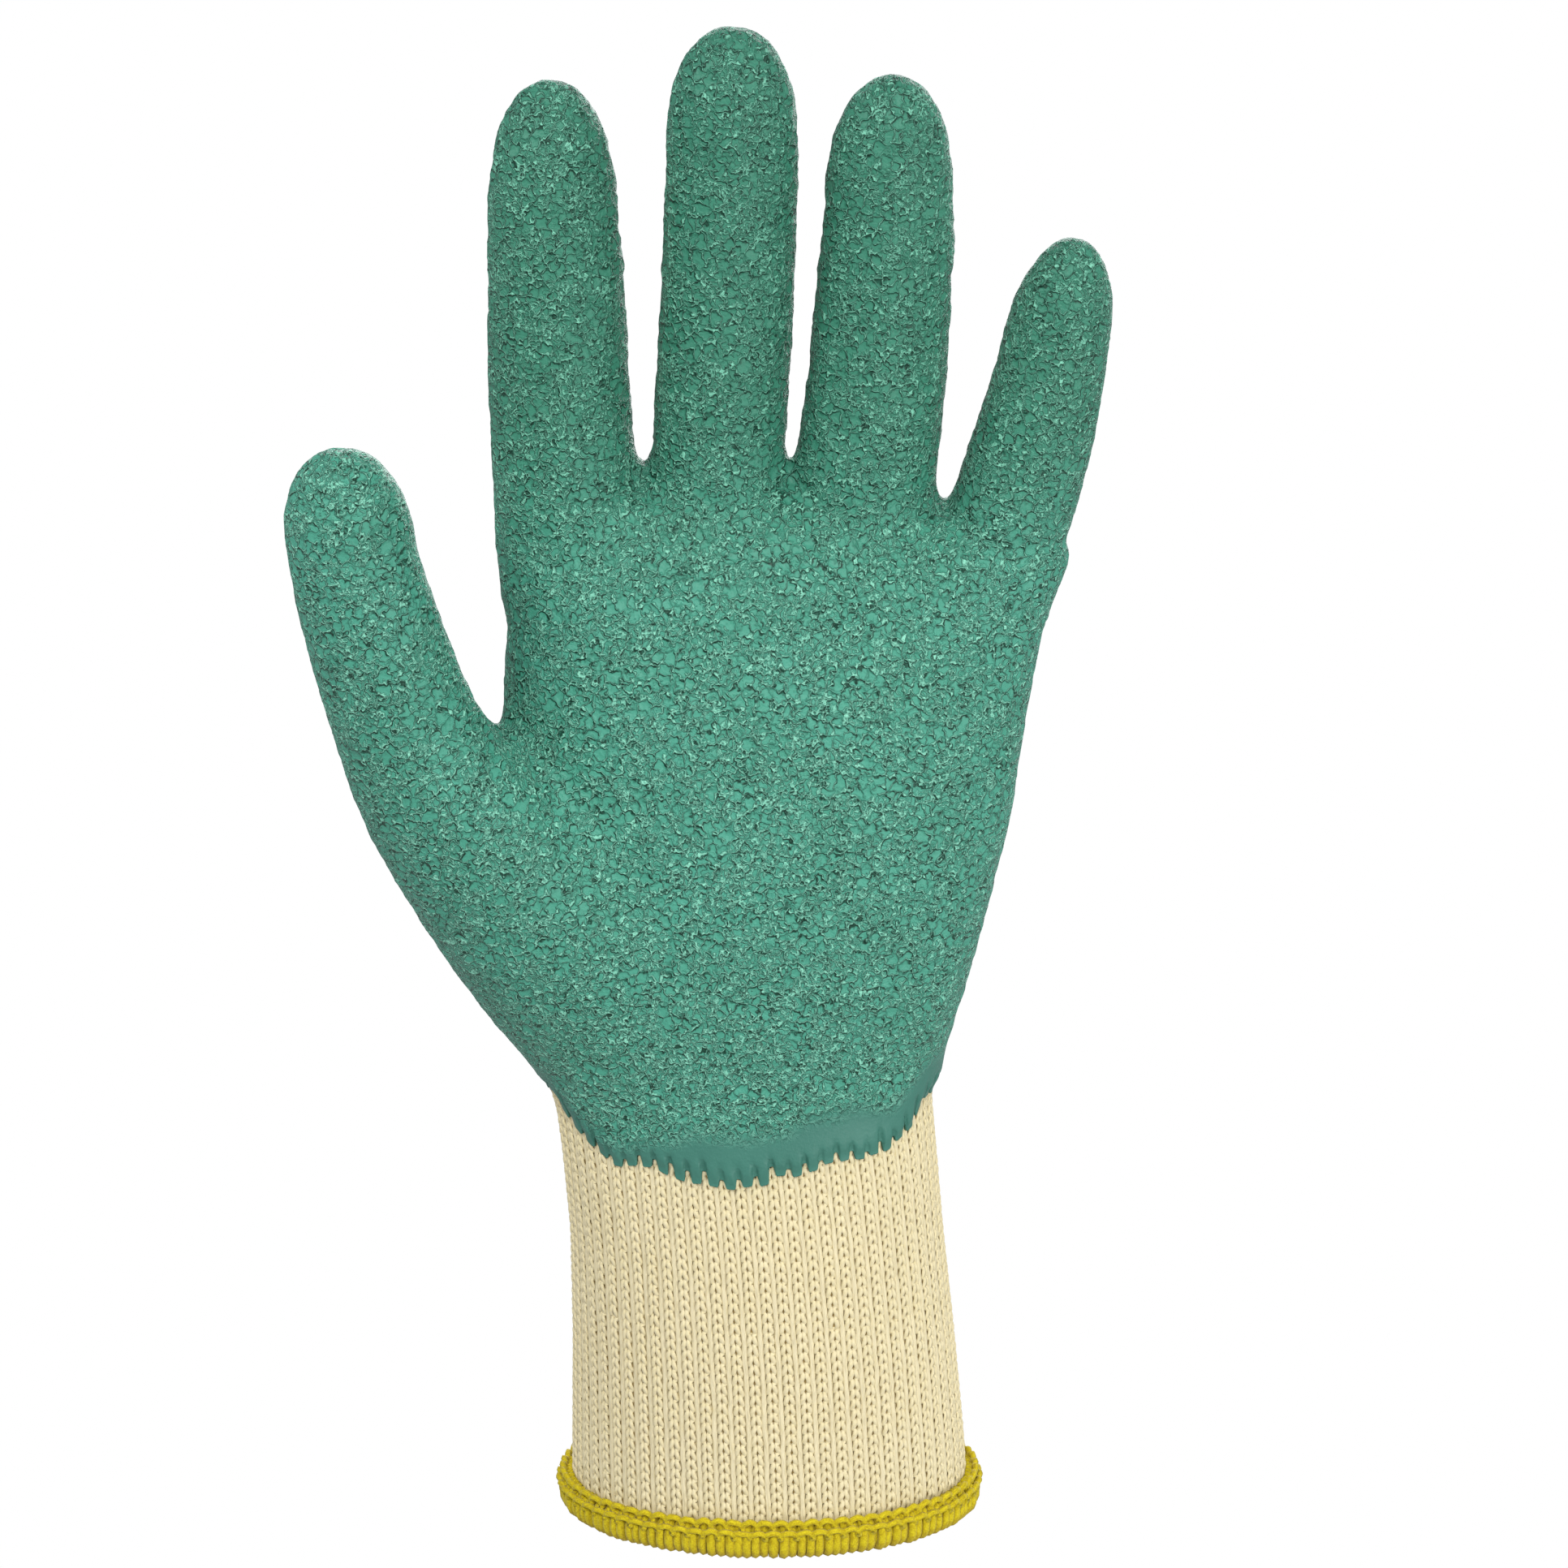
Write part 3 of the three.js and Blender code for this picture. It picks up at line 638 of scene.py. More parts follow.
# Built alike in the material and in the displacement
def crinkleNodes(tree, place):
    scale = {name: 1 / (size * mm) for name, size in crinkle["sizes"].items()}
    half = crinkle["foldHalf"]
    toEdge = {"feature": "DISTANCE_TO_EDGE"}

    # bent places: noise from -0.5 to 0.5 moves each point
    curl = addNode(tree, noise, {"Vector": place, "Scale": scale["curl"], "Detail": 1.0})
    centred = addNode(tree, vectors, {0: curl.outputs[1], 1: (0.5, 0.5, 0.5)}, operation="SUBTRACT")
    push = addNode(tree, vectors, {0: centred, "Scale": 2 * crinkle["curlReach"] * mm}, operation="SCALE")
    bent = addNode(tree, vectors, {0: place, 1: push}, operation="ADD")
    moved = addNode(tree, vectors, {0: bent, 1: (0.31, 0.17, 0.23)}, operation="ADD")
    above = addNode(tree, vectors, {0: bent, 1: (0, 0, crinkle["shadowDrop"] * mm)}, operation="ADD")
    patches, vary, fine = [addNode(tree, noise, {"Vector": moved, "Scale": scale[name], "Detail": 0.0})
                           for name in ("patch", "vary", "fine")]

    # busy is 1 where the crinkle is small: in patches, and towards the wrist
    upward = addNode(tree, "ShaderNodeSeparateXYZ", {0: place}).outputs[2]
    nearWrist = addNode(tree, ramp, {"Value": upward, "From Min": 0.125, "From Max": 0.07, "To Max": 0.12})
    crowd = addNode(tree, maths, {0: patches, 1: nearWrist}, operation="ADD")
    busy = addNode(tree, ramp, {"Value": crowd, "From Min": 0.42, "From Max": 0.56}, **softly)
    strength = addNode(tree, ramp, {"Value": vary, "From Min": 0.36, "From Max": 0.5, "To Min": 0.3})

    # folds at the cell borders, strong or weak, and the small ones
    border = addNode(tree, cells, {"Vector": bent, "Scale": scale["cell"]}, **toEdge)
    near = addNode(tree, ramp, {"Value": border, "From Min": half, "From Max": 0.0}, **softly)
    largeFolds = addNode(tree, maths, {0: near, 1: strength}, operation="MULTIPLY")
    smallBorder = addNode(tree, cells, {"Vector": moved, "Scale": scale["smallCell"]}, **toEdge)
    reach = {"From Min": crinkle["wider"] * half, "From Max": 0.0}
    smallNear = addNode(tree, ramp, {"Value": smallBorder, **reach, "To Max": 0.8}, **softly)
    smallFolds = addNode(tree, maths, {0: smallNear, 1: busy}, operation="MULTIPLY")
    folds = addNode(tree, maths, {0: largeFolds, 1: smallFolds}, operation="MAXIMUM")

    # painted shadow under the folds: dark where a fold lies just above, here and there closed
    over = addNode(tree, cells, {"Vector": above, "Scale": scale["cell"]}, **toEdge)
    overNear = addNode(tree, ramp, {"Value": over, **reach, "To Max": 1.5})
    under = addNode(tree, maths, {0: overNear, 1: folds}, operation="SUBTRACT", use_clamp=True)
    torn = addNode(tree, noise, {"Vector": bent, "Scale": scale["torn"], "Detail": 0.0})
    share = addNode(tree, ramp, {"Value": torn, "From Min": 0.36, "From Max": 0.52, "To Min": 0.3})
    opened = addNode(tree, maths, {0: under, 1: share}, operation="MULTIPLY")
    hollow = addNode(tree, maths, {0: opened, 1: strength}, operation="MULTIPLY")

    # painted shade: dark round pits beside the folds, here and there
    spotCells = addNode(tree, cells, {"Vector": bent, "Scale": scale["spot"]})
    spot = addNode(tree, ramp, {"Value": spotCells, "From Min": 0.42, "From Max": 0.14})
    beside = addNode(tree, ramp, {"Value": border, "From Min": 0.30, "From Max": 0.10})
    picked = addNode(tree, ramp, {"Value": vary, "From Min": 0.36, "From Max": 0.5})
    spotBeside = addNode(tree, maths, {0: spot, 1: beside}, operation="MULTIPLY")
    pitShade = addNode(tree, maths, {0: spotBeside, 1: picked}, operation="MULTIPLY")

    # height = 0.7 folds + 0.3 bowl + 0.16 fine noise, swell = 0.8 bowl + 0.9 slow noise - 0.7, with
    # bowl = 0.5 - border
    nearBorder = addNode(tree, maths, {0: border, 1: 0.5}, operation="MINIMUM")
    bowl = addNode(tree, maths, {0: 0.5, 1: nearBorder}, operation="SUBTRACT")
    raised = addNode(tree, maths, {0: folds, 1: 0.7}, operation="MULTIPLY")
    rounded = addNode(tree, maths, {0: bowl, 1: 0.3, 2: raised}, operation="MULTIPLY_ADD")
    height = addNode(tree, maths, {0: fine, 1: 0.16, 2: rounded}, operation="MULTIPLY_ADD")
    slow = addNode(tree, noise, {"Vector": place, "Scale": scale["swell"], "Detail": 1.0})
    wide = addNode(tree, maths, {0: slow, 1: 0.9, 2: -0.7}, operation="MULTIPLY_ADD")
    swell = addNode(tree, maths, {0: bowl, 1: 0.8, 2: wide}, operation="MULTIPLY_ADD")
    return {"height": height, "swell": swell, "folds": folds, "hollow": hollow, "pitShade": pitShade}


# Colours laid over one another, each by its share; a colour is a hex value or a node's output
def layered(tree, below, layers):
    below = toLinear(below) if isinstance(below, str) else below
    for share, over in layers:
        over = toLinear(over) if isinstance(over, str) else over
        below = addNode(tree, "ShaderNodeMix", {0: share, 6: below, 7: over}, data_type="RGBA").outputs[2]
    return below


# Material whose look is the inputs that a function builds for its shader
def newFinish(name, look):
    material = bpy.data.materials.new(name)
    material.use_nodes = True
    tree = material.node_tree
    fillNode(tree, tree.nodes["Principled BSDF"], look(tree))
    return material


# Natural rubber latex, dipped and crinkled while it cures: a satin film whose thin folds carry a
# painted highlight, over painted shadows and painted shade in pits; smooth and greyer along the wrist where
# it is thinnest
def naturalRubber(tree):
    place = addNode(tree, "ShaderNodeAttribute", attribute_name="rest").outputs["Vector"]
    mask = addNode(tree, "ShaderNodeAttribute", attribute_name="crinkled").outputs["Fac"]
    film = crinkleNodes(tree, place)
    broad = addNode(tree, noise, {"Vector": place, "Scale": 1 / (12 * mm), "Detail": 1.0})

    # painted shade: the colour is deeper towards the fingers, from 150 to 195 mm up and away from the thumb
    # side
    split = addNode(tree, "ShaderNodeSeparateXYZ", {0: place})
    beside = addNode(tree, ramp, {"Value": split.outputs[0], "From Min": -0.052, "From Max": -0.045})
    upper = addNode(tree, ramp, {"Value": split.outputs[2], "From Min": 0.15, "From Max": 0.195}, **softly)
    fingerShade = addNode(tree, maths, {0: upper, 1: beside}, operation="MULTIPLY")
    # painted highlight: the folds' crests are paler green
    crestHighlight = addNode(tree, ramp, {"Value": film["folds"], "From Min": 0.25, "From Max": 0.95, "To Max": 0.95})
    # painted shade: the dark #103f30 in the pits beside the folds
    pitShadeShare = addNode(tree, maths, {0: film["pitShade"], 1: 0.9}, operation="MULTIPLY")
    pale = layered(tree, "#8ad6ba", [(fingerShade, "#7cc8ab")])
    # the dark #0f4131 below the folds is painted shadow
    crinkled = layered(tree, "#44927a", [(broad, "#4c9e87"), (fingerShade, "#3b826a"), (crestHighlight, pale),
                                         (film["hollow"], "#0f4131"), (pitShadeShare, "#103f30")])
    smooth = layered(tree, "#386f61", [(broad, "#437d6e")])

    grain = addNode(tree, noise, {"Vector": place, "Scale": 1 / (0.5 * mm), "Detail": 1.0})
    faint = addNode(tree, maths, {0: grain, 1: 0.10}, operation="MULTIPLY")
    total = addNode(tree, maths, {0: film["height"], 1: mask, 2: faint}, operation="MULTIPLY_ADD")
    bump = addNode(tree, "ShaderNodeBump", {"Height": total, "Distance": 0.7 * mm, "Strength": 1.0})
    return {"Base Color": layered(tree, smooth, [(mask, crinkled)]), "Normal": bump, "Roughness": 0.5,
            "Specular IOR Level": 0.35}


# Cotton yarn, ring spun and plied: pale cream, matt and slightly fuzzy, its plies winding round it
def cottonYarn(tree):
    along = addNode(tree, "ShaderNodeUVMap", uv_map="surface")
    split = addNode(tree, "ShaderNodeSeparateXYZ", {0: along})
    # two plies, one turn each 2.4 mm: sin of 2 pi (2 around + length / 1.2)
    turn = addNode(tree, maths, {0: split.outputs[0], 1: 1 / 1.2}, operation="MULTIPLY")
    share = addNode(tree, maths, {0: split.outputs[1], 1: 2.0, 2: turn}, operation="MULTIPLY_ADD")
    angle = addNode(tree, maths, {0: share, 1: 2 * math.pi}, operation="MULTIPLY")
    ply = addNode(tree, maths, {0: angle}, operation="SINE")
    coord = addNode(tree, "ShaderNodeTexCoord").outputs["Object"]
    fibre = addNode(tree, noise, {"Vector": coord, "Scale": 1 / (0.22 * mm), "Detail": 2.0})
    broad = addNode(tree, noise, {"Vector": coord, "Scale": 1 / (6 * mm), "Detail": 2.0})
    height = addNode(tree, maths, {0: ply, 1: 0.35, 2: fibre}, operation="MULTIPLY_ADD")
    tone = layered(tree, "#ded1a6", [(broad, "#e4d8b3")])
    # painted shade: darker cream in the grooves between the plies
    plyUnshaded = addNode(tree, ramp, {"Value": height, "From Min": -0.1, "From Max": 0.5})
    bump = addNode(tree, "ShaderNodeBump", {"Height": height, "Distance": 0.06 * mm, "Strength": 0.8})
    return {"Base Color": layered(tree, "#dccea0", [(plyUnshaded, tone)]), "Normal": bump, "Roughness": 0.9,
            "Specular IOR Level": 0.15, "Sheen Weight": 0.15}


# The knit's ground behind its loops: fine upright strands between the wales, and a brown painted
# shade where it shows through the gaps under each stitch. Its UV counts wales and courses
def knitGround(tree):
    place = addNode(tree, "ShaderNodeUVMap", uv_map="surface")
    split = addNode(tree, "ShaderNodeSeparateXYZ", {0: place})
    phase = addNode(tree, maths, {0: split.outputs[0]}, operation="FRACT")
    side = addNode(tree, maths, {0: phase, 1: 0.5}, operation="SUBTRACT")
    away = addNode(tree, maths, {0: side}, operation="ABSOLUTE")
    strip = addNode(tree, ramp, {"Value": away, "From Min": 0.17, "From Max": 0.24}, **softly)
    # between the fingers no stitch covers the ground, so it gets no painted shade there
    coord = addNode(tree, "ShaderNodeTexCoord").outputs["Object"]
    upward = addNode(tree, "ShaderNodeSeparateXYZ", {0: coord}).outputs[2]
    bare = addNode(tree, ramp, {"Value": upward, "From Min": 0.161, "From Max": 0.165})
    clear = addNode(tree, maths, {0: strip, 1: bare}, operation="MAXIMUM")
    # strands 0.2 mm wide that run about two courses before they fade
    stretched = addNode(tree, vectors, {0: place, 1: (14.0, 0.5, 1.0)}, operation="MULTIPLY")
    strands = addNode(tree, noise, {"Vector": stretched, "Scale": 1.0, "Detail": 3.0})
    sharper = addNode(tree, ramp, {"Value": strands, "From Min": 0.3, "From Max": 0.5})
    cream = layered(tree, "#e0d2a5", [(sharper, "#e8dcb6")])
    bump = addNode(tree, "ShaderNodeBump", {"Height": strands, "Distance": 0.3 * mm, "Strength": 1.0})
    # painted shade: brown under the stitches' gaps, cream under the strips and between the fingers
    return {"Base Color": layered(tree, "#b59c66", [(clear, cream)]), "Normal": bump, "Roughness": 0.95,
            "Specular IOR Level": 0.1}


# Spun polyester overlock thread: bright yellow, softly hairy, wound in close wraps, with painted
# shade between its fibres and towards the roll's lowest edge, on its underside
def overlockThread(tree):
    along = addNode(tree, "ShaderNodeUVMap", uv_map="surface")
    stretched = addNode(tree, vectors, {0: along, 1: (1.2, 7.0, 1.0)}, operation="MULTIPLY")
    strands = addNode(tree, noise, {"Vector": stretched, "Scale": 1.0, "Detail": 2.0})
    coord = addNode(tree, "ShaderNodeTexCoord").outputs["Object"]
    fibre = addNode(tree, noise, {"Vector": coord, "Scale": 1 / (0.25 * mm), "Detail": 2.0})
    height = addNode(tree, maths, {0: strands, 1: 0.8, 2: fibre}, operation="MULTIPLY_ADD")
    # painted shade: deeper yellow where the strands lie low, between the fibres
    tone = addNode(tree, ramp, {"Value": height, "From Min": 0.6, "From Max": 1.1})
    upward = addNode(tree, "ShaderNodeSeparateXYZ", {0: coord}).outputs[2]
    # painted shade: darker towards the roll's lowest edge, on its underside
    low = addNode(tree, ramp, {"Value": upward, "From Min": 0.0022, "From Max": 0.0, "To Max": 0.75})
    bump = addNode(tree, "ShaderNodeBump", {"Height": height, "Distance": 0.12 * mm, "Strength": 1.0})
    return {"Base Color": layered(tree, "#ac9206", [(tone, "#d5c41b"), (low, "#a8860a")]), "Normal": bump,
            "Roughness": 0.8, "Specular IOR Level": 0.2, "Sheen Weight": 0.1}


latexFinish = newFinish("naturalRubberLatex", naturalRubber)
yarnFinish = newFinish("cottonYarn", cottonYarn)
groundFinish = newFinish("cottonKnitGround", knitGround)
threadFinish = newFinish("overlockThread", overlockThread)
print("materials ready")


# Prints a piece's name and how many triangles it has
def printSize(piece):
    print(piece.name, sum(len(face.vertices) - 2 for face in piece.data.polygons), "triangles")


# Wale and course numbers at the corners of triangles, kept together across the seam of the count
def gaugeCorners(points):
    wales = waleAt(*points.T)
    courses = points[:, 2] / knit["course"]

    def corners(loops):
        values = np.stack([wales[loops], courses[loops]], 1).reshape(-1, 3, 2)
        torn = values[..., 0].max(1) - values[..., 0].min(1) > knit["wales"] / 2
        values[torn, :, 0] += knit["wales"] * (values[torn, :, 0] < knit["wales"] / 2)
        return values.reshape(-1, 2)

    return corners


# Knitted wall of the whole glove: its ground face below the loops, its inner face, and the rim at
# the cuff's mouth
def linerWall():
    points, triangles = handSkin(knit["base"], knit["wallMargin"], -3, knit["wallStep"])
    points, triangles = keepPositive(points, triangles, points[:, 2] - form["bottom"], 0.3)
    points, normals = ontoFace(points, knit["base"], 1)
    points[:, 2] = np.maximum(points[:, 2], form["bottom"])
    inner = points - normals * (knit["base"] - knit["inner"])
    shell, faces = closedShell(points, inner, triangles)
    return meshFrom("linerWall", shell, [faces], groundFinish, gaugeCorners(shell))


wall = linerWall()
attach(wall, "root")
printSize(wall)


# Map of a curved patch: places and directions on a grid of wales and courses, for quick reading
def patchMap(place, wales, heights):
    grid = place(*np.meshgrid(wales, heights, indexing="ij"))
    points, normals = [each.reshape(grid.shape) for each in ontoFace(grid.reshape(-1, 3), 0, 3)]
    return {"wales": wales, "heights": heights, "points": points, "normals": normals}


# Place and direction between the map's grid lines
def onPatch(patch, wale, height):
    i = (wale - patch["wales"][0]) / (patch["wales"][1] - patch["wales"][0])
    j = (height - patch["heights"][0]) / (patch["heights"][1] - patch["heights"][0])
    return [mixFour(patch[name], i, j) for name in ("points", "normals")]


# Tubes along rows of path points: ring k is centre + wide cos a side + deep sin a up, with side
# across the path and up along the given direction
def tubesAlong(paths, ups, wide, deep, sides, closed):
    count, length = paths.shape[:2]
    if closed:
        along = np.roll(paths, -1, 1) - np.roll(paths, 1, 1)
    else:
        along = np.gradient(paths, axis=1)
    along /= np.linalg.norm(along, axis=2, keepdims=True)
    side = np.cross(along, ups)
    side /= np.linalg.norm(side, axis=2, keepdims=True)
    up = np.cross(side, along)
    turns = 2 * np.pi * np.arange(sides) / sides
    wide, deep = [np.broadcast_to(half, (count, length))[:, :, None, None] for half in (wide, deep)]
    sideways = side[:, :, None] * np.cos(turns)[:, None] * wide
    upwards = up[:, :, None] * np.sin(turns)[:, None] * deep
    points = paths[:, :, None] + sideways + upwards
    number = np.arange(count * length * sides).reshape(count, length, sides)
    nextRing = np.roll(number, -1, 1) if closed else number[:, 1:]
    thisRing = number if closed else number[:, :-1]
    quads = np.stack([thisRing, np.roll(thisRing, -1, 2), np.roll(nextRing, -1, 2), nextRing], -1)
    faces = [quads.reshape(-1, 4)]
    if not closed:
        faces.append(number[:, 0, ::-1].reshape(-1, sides))
        faces.append(number[:, -1, :].reshape(-1, sides))
    return points.reshape(-1, 3), faces


# Length in mm along the tube and share of a turn around it, at the corners of its faces
def tubeCorners(stepLength, length, sides):
    def corners(loops):
        ring = (loops // sides) % length
        return np.stack([ring * stepLength, loops % sides / sides], 1)

    return corners


# Courses of jersey knit: t runs round each stitch, across = W t / 2pi + pinch sin t + splay sin 2t,
# height = rise cos t, front = lean cos t - bulge cos 2t, so that the legs lean together towards the
# fingers; t has fewer steps at the hidden head, at t = 0
stitchTurns = np.array([0, 0.8, 1.15, 1.5, 1.85, 2.25, 2.7, 3.3, 3.75, 4.2, 4.6, 4.95, 5.3])
coarseTurns = np.array([0, 0.9, 1.35, 1.85, 2.4, 3.14, 3.88, 4.43, 4.93, 5.38])


def jersey(name, patch, firstWale, waleCount, courses, turns, closed, pitch):
    sides = 5 if closed else 4
    total = waleCount * len(turns)
    t = (2 * np.pi * np.arange(waleCount)[:, None] + turns).ravel()
    across = t / (2 * np.pi) + (knit["pinch"] * np.sin(t) + knit["splay"] * np.sin(2 * t)) / pitch
    spread = (len(courses), total)
    stagger = seedPicks.normal(0, knit["stagger"], (1, waleCount)).repeat(len(turns), 1) * knit["course"]
    wale = firstWale + across[None, :] + np.zeros((len(courses), 1))
    jitter = seedPicks.normal(0, knit["jitter"], spread) * knit["course"] + stagger
    height = courses[:, None] * knit["course"] + knit["rise"] * np.cos(t)[None, :] + jitter
    head = np.exp(-((1 - np.cos(t)) / 0.35) ** 2)
    front = knit["middle"] + knit["lean"] * np.cos(t) - knit["bulge"] * np.cos(2 * t)
    front -= knit["headDrop"] * head
    if closed:
        wale = wale % knit["wales"]
    points, normals = onPatch(patch, wale, height)
    points = points + normals * (front[None, :] + seedPicks.normal(0, knit["stand"], spread))[..., None]
    tube, faces = tubesAlong(points, normals, knit["yarnWide"], knit["yarnDeep"], sides, closed)
    return meshFrom(name, tube, faces, yarnFinish, tubeCorners(0.5, total, sides))


# Soft strips of floating strands between the columns: flat tubes up each wale's edge. Their UV
# counts wales and courses like the ground's
def knitStrips(name, patch, wales, low, high, pitch):
    sides = 6
    rows = np.arange(low, high, knit["course"] * 0.8)
    height = rows[None, :] + np.zeros((len(wales), 1))
    wale = wales[:, None] + seedPicks.normal(0, knit["stripSway"], height.shape)
    points, normals = onPatch(patch, wale % knit["wales"], height)
    level = knit["stripMiddle"] + seedPicks.normal(0, knit["stripStand"], height.shape)
    apart = np.linalg.norm(np.diff(points, axis=0), axis=2)
    stretch = np.clip(np.concatenate([apart, apart[-1:]]) / pitch, 0.9, 1.6)
    points = points + normals * level[..., None]
    tube, faces = tubesAlong(points, normals, knit["stripWide"] * stretch, knit["stripDeep"], sides, False)
    turns = 2 * np.pi * np.arange(sides) / sides

    def corners(loops):
        strip, row, around = loops // (len(rows) * sides), (loops // sides) % len(rows), loops % sides
        sideways = np.cos(turns)[around] * knit["stripWide"] / pitch
        return np.stack([wales[strip] + sideways, rows[row] / knit["course"]], 1)

    return meshFrom(name, tube, faces, groundFinish, corners)


allWales = np.linspace(0, knit["wales"], knit["wales"] * 2 + 1)
cuffPatch = patchMap(bodyPoint, allWales, np.arange(0, 90, 2.0))
backPatch = patchMap(bodyPoint, np.linspace(0, 34, 69), np.arange(70, 178, 2.0))
pieces = []
for name, first, last in (("cuffLoopsLow", 4.0, 23.0), ("cuffLoopsHigh", 23.0, 44.0)):
    courses = np.arange(first, last)
    pieces.append(jersey(name, cuffPatch, 0, knit["wales"], courses, stitchTurns, True, knit["pitch"]))
pieces += [
    jersey("backLoops", backPatch, 1, 30, np.arange(44.0, 98.0), coarseTurns, False, knit["pitch"]),
    knitStrips("cuffStrips", cuffPatch, np.arange(knit["wales"]) + 0.0, 5.0, 78.0, knit["pitch"]),
    knitStrips("backStrips", backPatch, np.arange(1.0, 32.0), 76.0, 172.0, knit["pitch"]),
]

# Backs of the four fingers: eleven wales over the half round that faces back, the middle nine shown
fingerBacks = {"wales": 11, "shown": 9, "pitch": 2.7, "firstCourse": 97, "tipWrap": 10.0}


def fingerPoint(name):
    def place(wale, z):
        row = rowAt(digitTables[name], z)
        turn = np.pi * wale / fingerBacks["wales"]
        x = row["x"] + row["wide"] * np.cos(turn)
        y = row["y"] + row["deep"] * np.sin(turn)
        return np.stack([x, y, z + 0 * turn], -1)

    return place


for name in fingerNames:
    end = digits[name]["shoulder"] + digits[name]["cap"] - fingerBacks["tipWrap"]
    shown, pitch = fingerBacks["shown"], fingerBacks["pitch"]
    wales = np.linspace(0, fingerBacks["wales"], 2 * fingerBacks["wales"] + 1)
    patch = patchMap(fingerPoint(name), wales, np.arange(164, end + 6, 2.0))
    courses = np.arange(fingerBacks["firstCourse"], int(end / knit["course"])) + 0.0
    pieces.append(jersey(name + "Loops", patch, 1, shown, courses, coarseTurns, False, pitch))
    pieces.append(knitStrips(name + "Strips", patch, np.arange(1, shown + 2) + 0.0, 169.0, end, pitch))
for piece in pieces:
    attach(piece, "root")
    printSize(piece)


# Latex coat: outer face over the knit, thinning to its edge, closed by an inner copy and a rim
def latexCoat():
    points, triangles = handSkin(coat["film"], coat["margin"], coat["bottom"], coat["step"])
    reach = coatReach(*points.T)[0]
    triangles = triangles[reach[triangles].max(1) > -1.5]
    points, triangles = dropUnused(points, triangles)

    # finer triangles along the toothed edge at the wrist
    for limit in (1.8, 1.4):
        reach, line = coatReach(*points.T)
        atWrist = (np.abs(line) < 4) & (np.abs(reach) < limit)

        def choose(edges):
            chosen = atWrist[edges].any(1)
            return chosen, np.full(len(edges), 0.5)

        points, triangles = cutEdges(points, triangles, choose)
        points = ontoFace(points, coat["film"], 1)[0]

    points, triangles = keepPositive(points, triangles, coatReach(*points.T)[0], 0.04)
    reach, line = coatReach(*points.T)
    points, normals = ontoFace(points, coat["film"], 1)
    film = coat["edgeFilm"] + (coat["film"] - coat["edgeFilm"]) * ease(reach, 0, coat["edgeEase"])
    outer = points - normals * (coat["film"] - film)[:, None]
    inner = points - normals * (coat["film"] - coat["under"])
    band = np.interp(points[:, 0], *np.array(coat["band"]).T) + 1.1 * waver(*points.T, 5.0)
    crinkled = np.minimum(ease(line, band - 2.0, band + 2.5), ease(reach, 0.0, 1.6))
    shell, faces = closedShell(outer, inner, triangles)
    piece = meshFrom("latexCoat", shell, [faces], latexFinish)
    mesh = piece.data
    rest = mesh.attributes.new("rest", "FLOAT_VECTOR", "POINT")
    rest.data.foreach_set("vector", (shell * np.array(coat["drawnOut"]) * mm).astype(np.float32).ravel())
    mask = mesh.attributes.new("crinkled", "FLOAT", "POINT")
    mask.data.foreach_set("value", np.concatenate([crinkled, 0 * crinkled]).astype(np.float32))
    hidden = piece.vertex_groups.new(name="hidden")
    hidden.add(range(len(outer), 2 * len(outer)), 1.0, "REPLACE")

    # crinkle displacement along the face, by the same recipe as the material
    tree = bpy.data.node_groups.new("crinkleFilm", "GeometryNodeTree")
    for side in ("INPUT", "OUTPUT"):
        tree.interface.new_socket("Geometry", in_out=side, socket_type="NodeSocketGeometry")
    source = addNode(tree, "NodeGroupInput")
    named = "GeometryNodeInputNamedAttribute"
    place, share = [addNode(tree, named, {"Name": name}, data_type=kind).outputs[0]
                    for name, kind in (("rest", "FLOAT_VECTOR"), ("crinkled", "FLOAT"))]
    lift = addNode(tree, maths, {0: crinkleNodes(tree, place)["swell"], 1: share}, operation="MULTIPLY")
    normal = addNode(tree, "GeometryNodeInputNormal")
    move = addNode(tree, vectors, {0: normal, "Scale": lift}, operation="SCALE")
    sized = addNode(tree, vectors, {0: move, "Scale": coat["lift"] * mm}, operation="SCALE")
    shifted = addNode(tree, "GeometryNodeSetPosition", {"Geometry": source, "Offset": sized})
    addNode(tree, "NodeGroupOutput", {0: shifted})
    crumple = piece.modifiers.new("crumple", "NODES")
    crumple.node_group = tree
    thin = piece.modifiers.new("thinInside", "DECIMATE")
    thin.ratio = coat["insideKept"]
    thin.vertex_group = "hidden"
    thin.vertex_group_factor = 50
    bpy.context.view_layer.objects.active = piece
    with bpy.context.temp_override(object=piece, active_object=piece, selected_objects=[piece]):
        bpy.ops.object.modifier_apply(modifier="crumple")
        bpy.ops.object.modifier_apply(modifier="thinInside")
    return piece


film = latexCoat()
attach(film, "root")
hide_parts("latex_coat")
printSize(film)

# Overlocked hem: wraps round the raw edge, two rows of chain loops over their tops, and the roll
# of fabric that they hold
hem = {
    "wraps": 126,
    "thread": 0.74,  # radius of a wrap, a bundle of loose fibres
    "lean": 0.5,  # mm that a wrap slants along the edge
    "profile": [  # level from the knit's face, and height, from the inside round to the outside
        (-2.6, 5.4), (-2.85, 4.0), (-2.9, 2.3), (-2.4, 1.05), (-1.2, 0.76), (0.2, 0.8),
        (1.15, 1.35), (1.6, 2.4), (1.65, 3.8), (1.3, 5.0), (0.65, 5.8), (-0.3, 5.9),
    ],
    "chains": [{"height": 4.45, "proud": 2.0, "tall": 0.55}, {"height": 5.85, "proud": 1.45, "tall": 0.85}],
    "chainPitch": 2.5,
    "chainThread": 0.53,
    "frontRise": 0.45,
    "sections": 17,  # along a wrap
    "segments": 14,  # along a chain loop
    "rollSteps": 180,
    "rollShare": 0.9,  # size of the roll inside the wraps
}


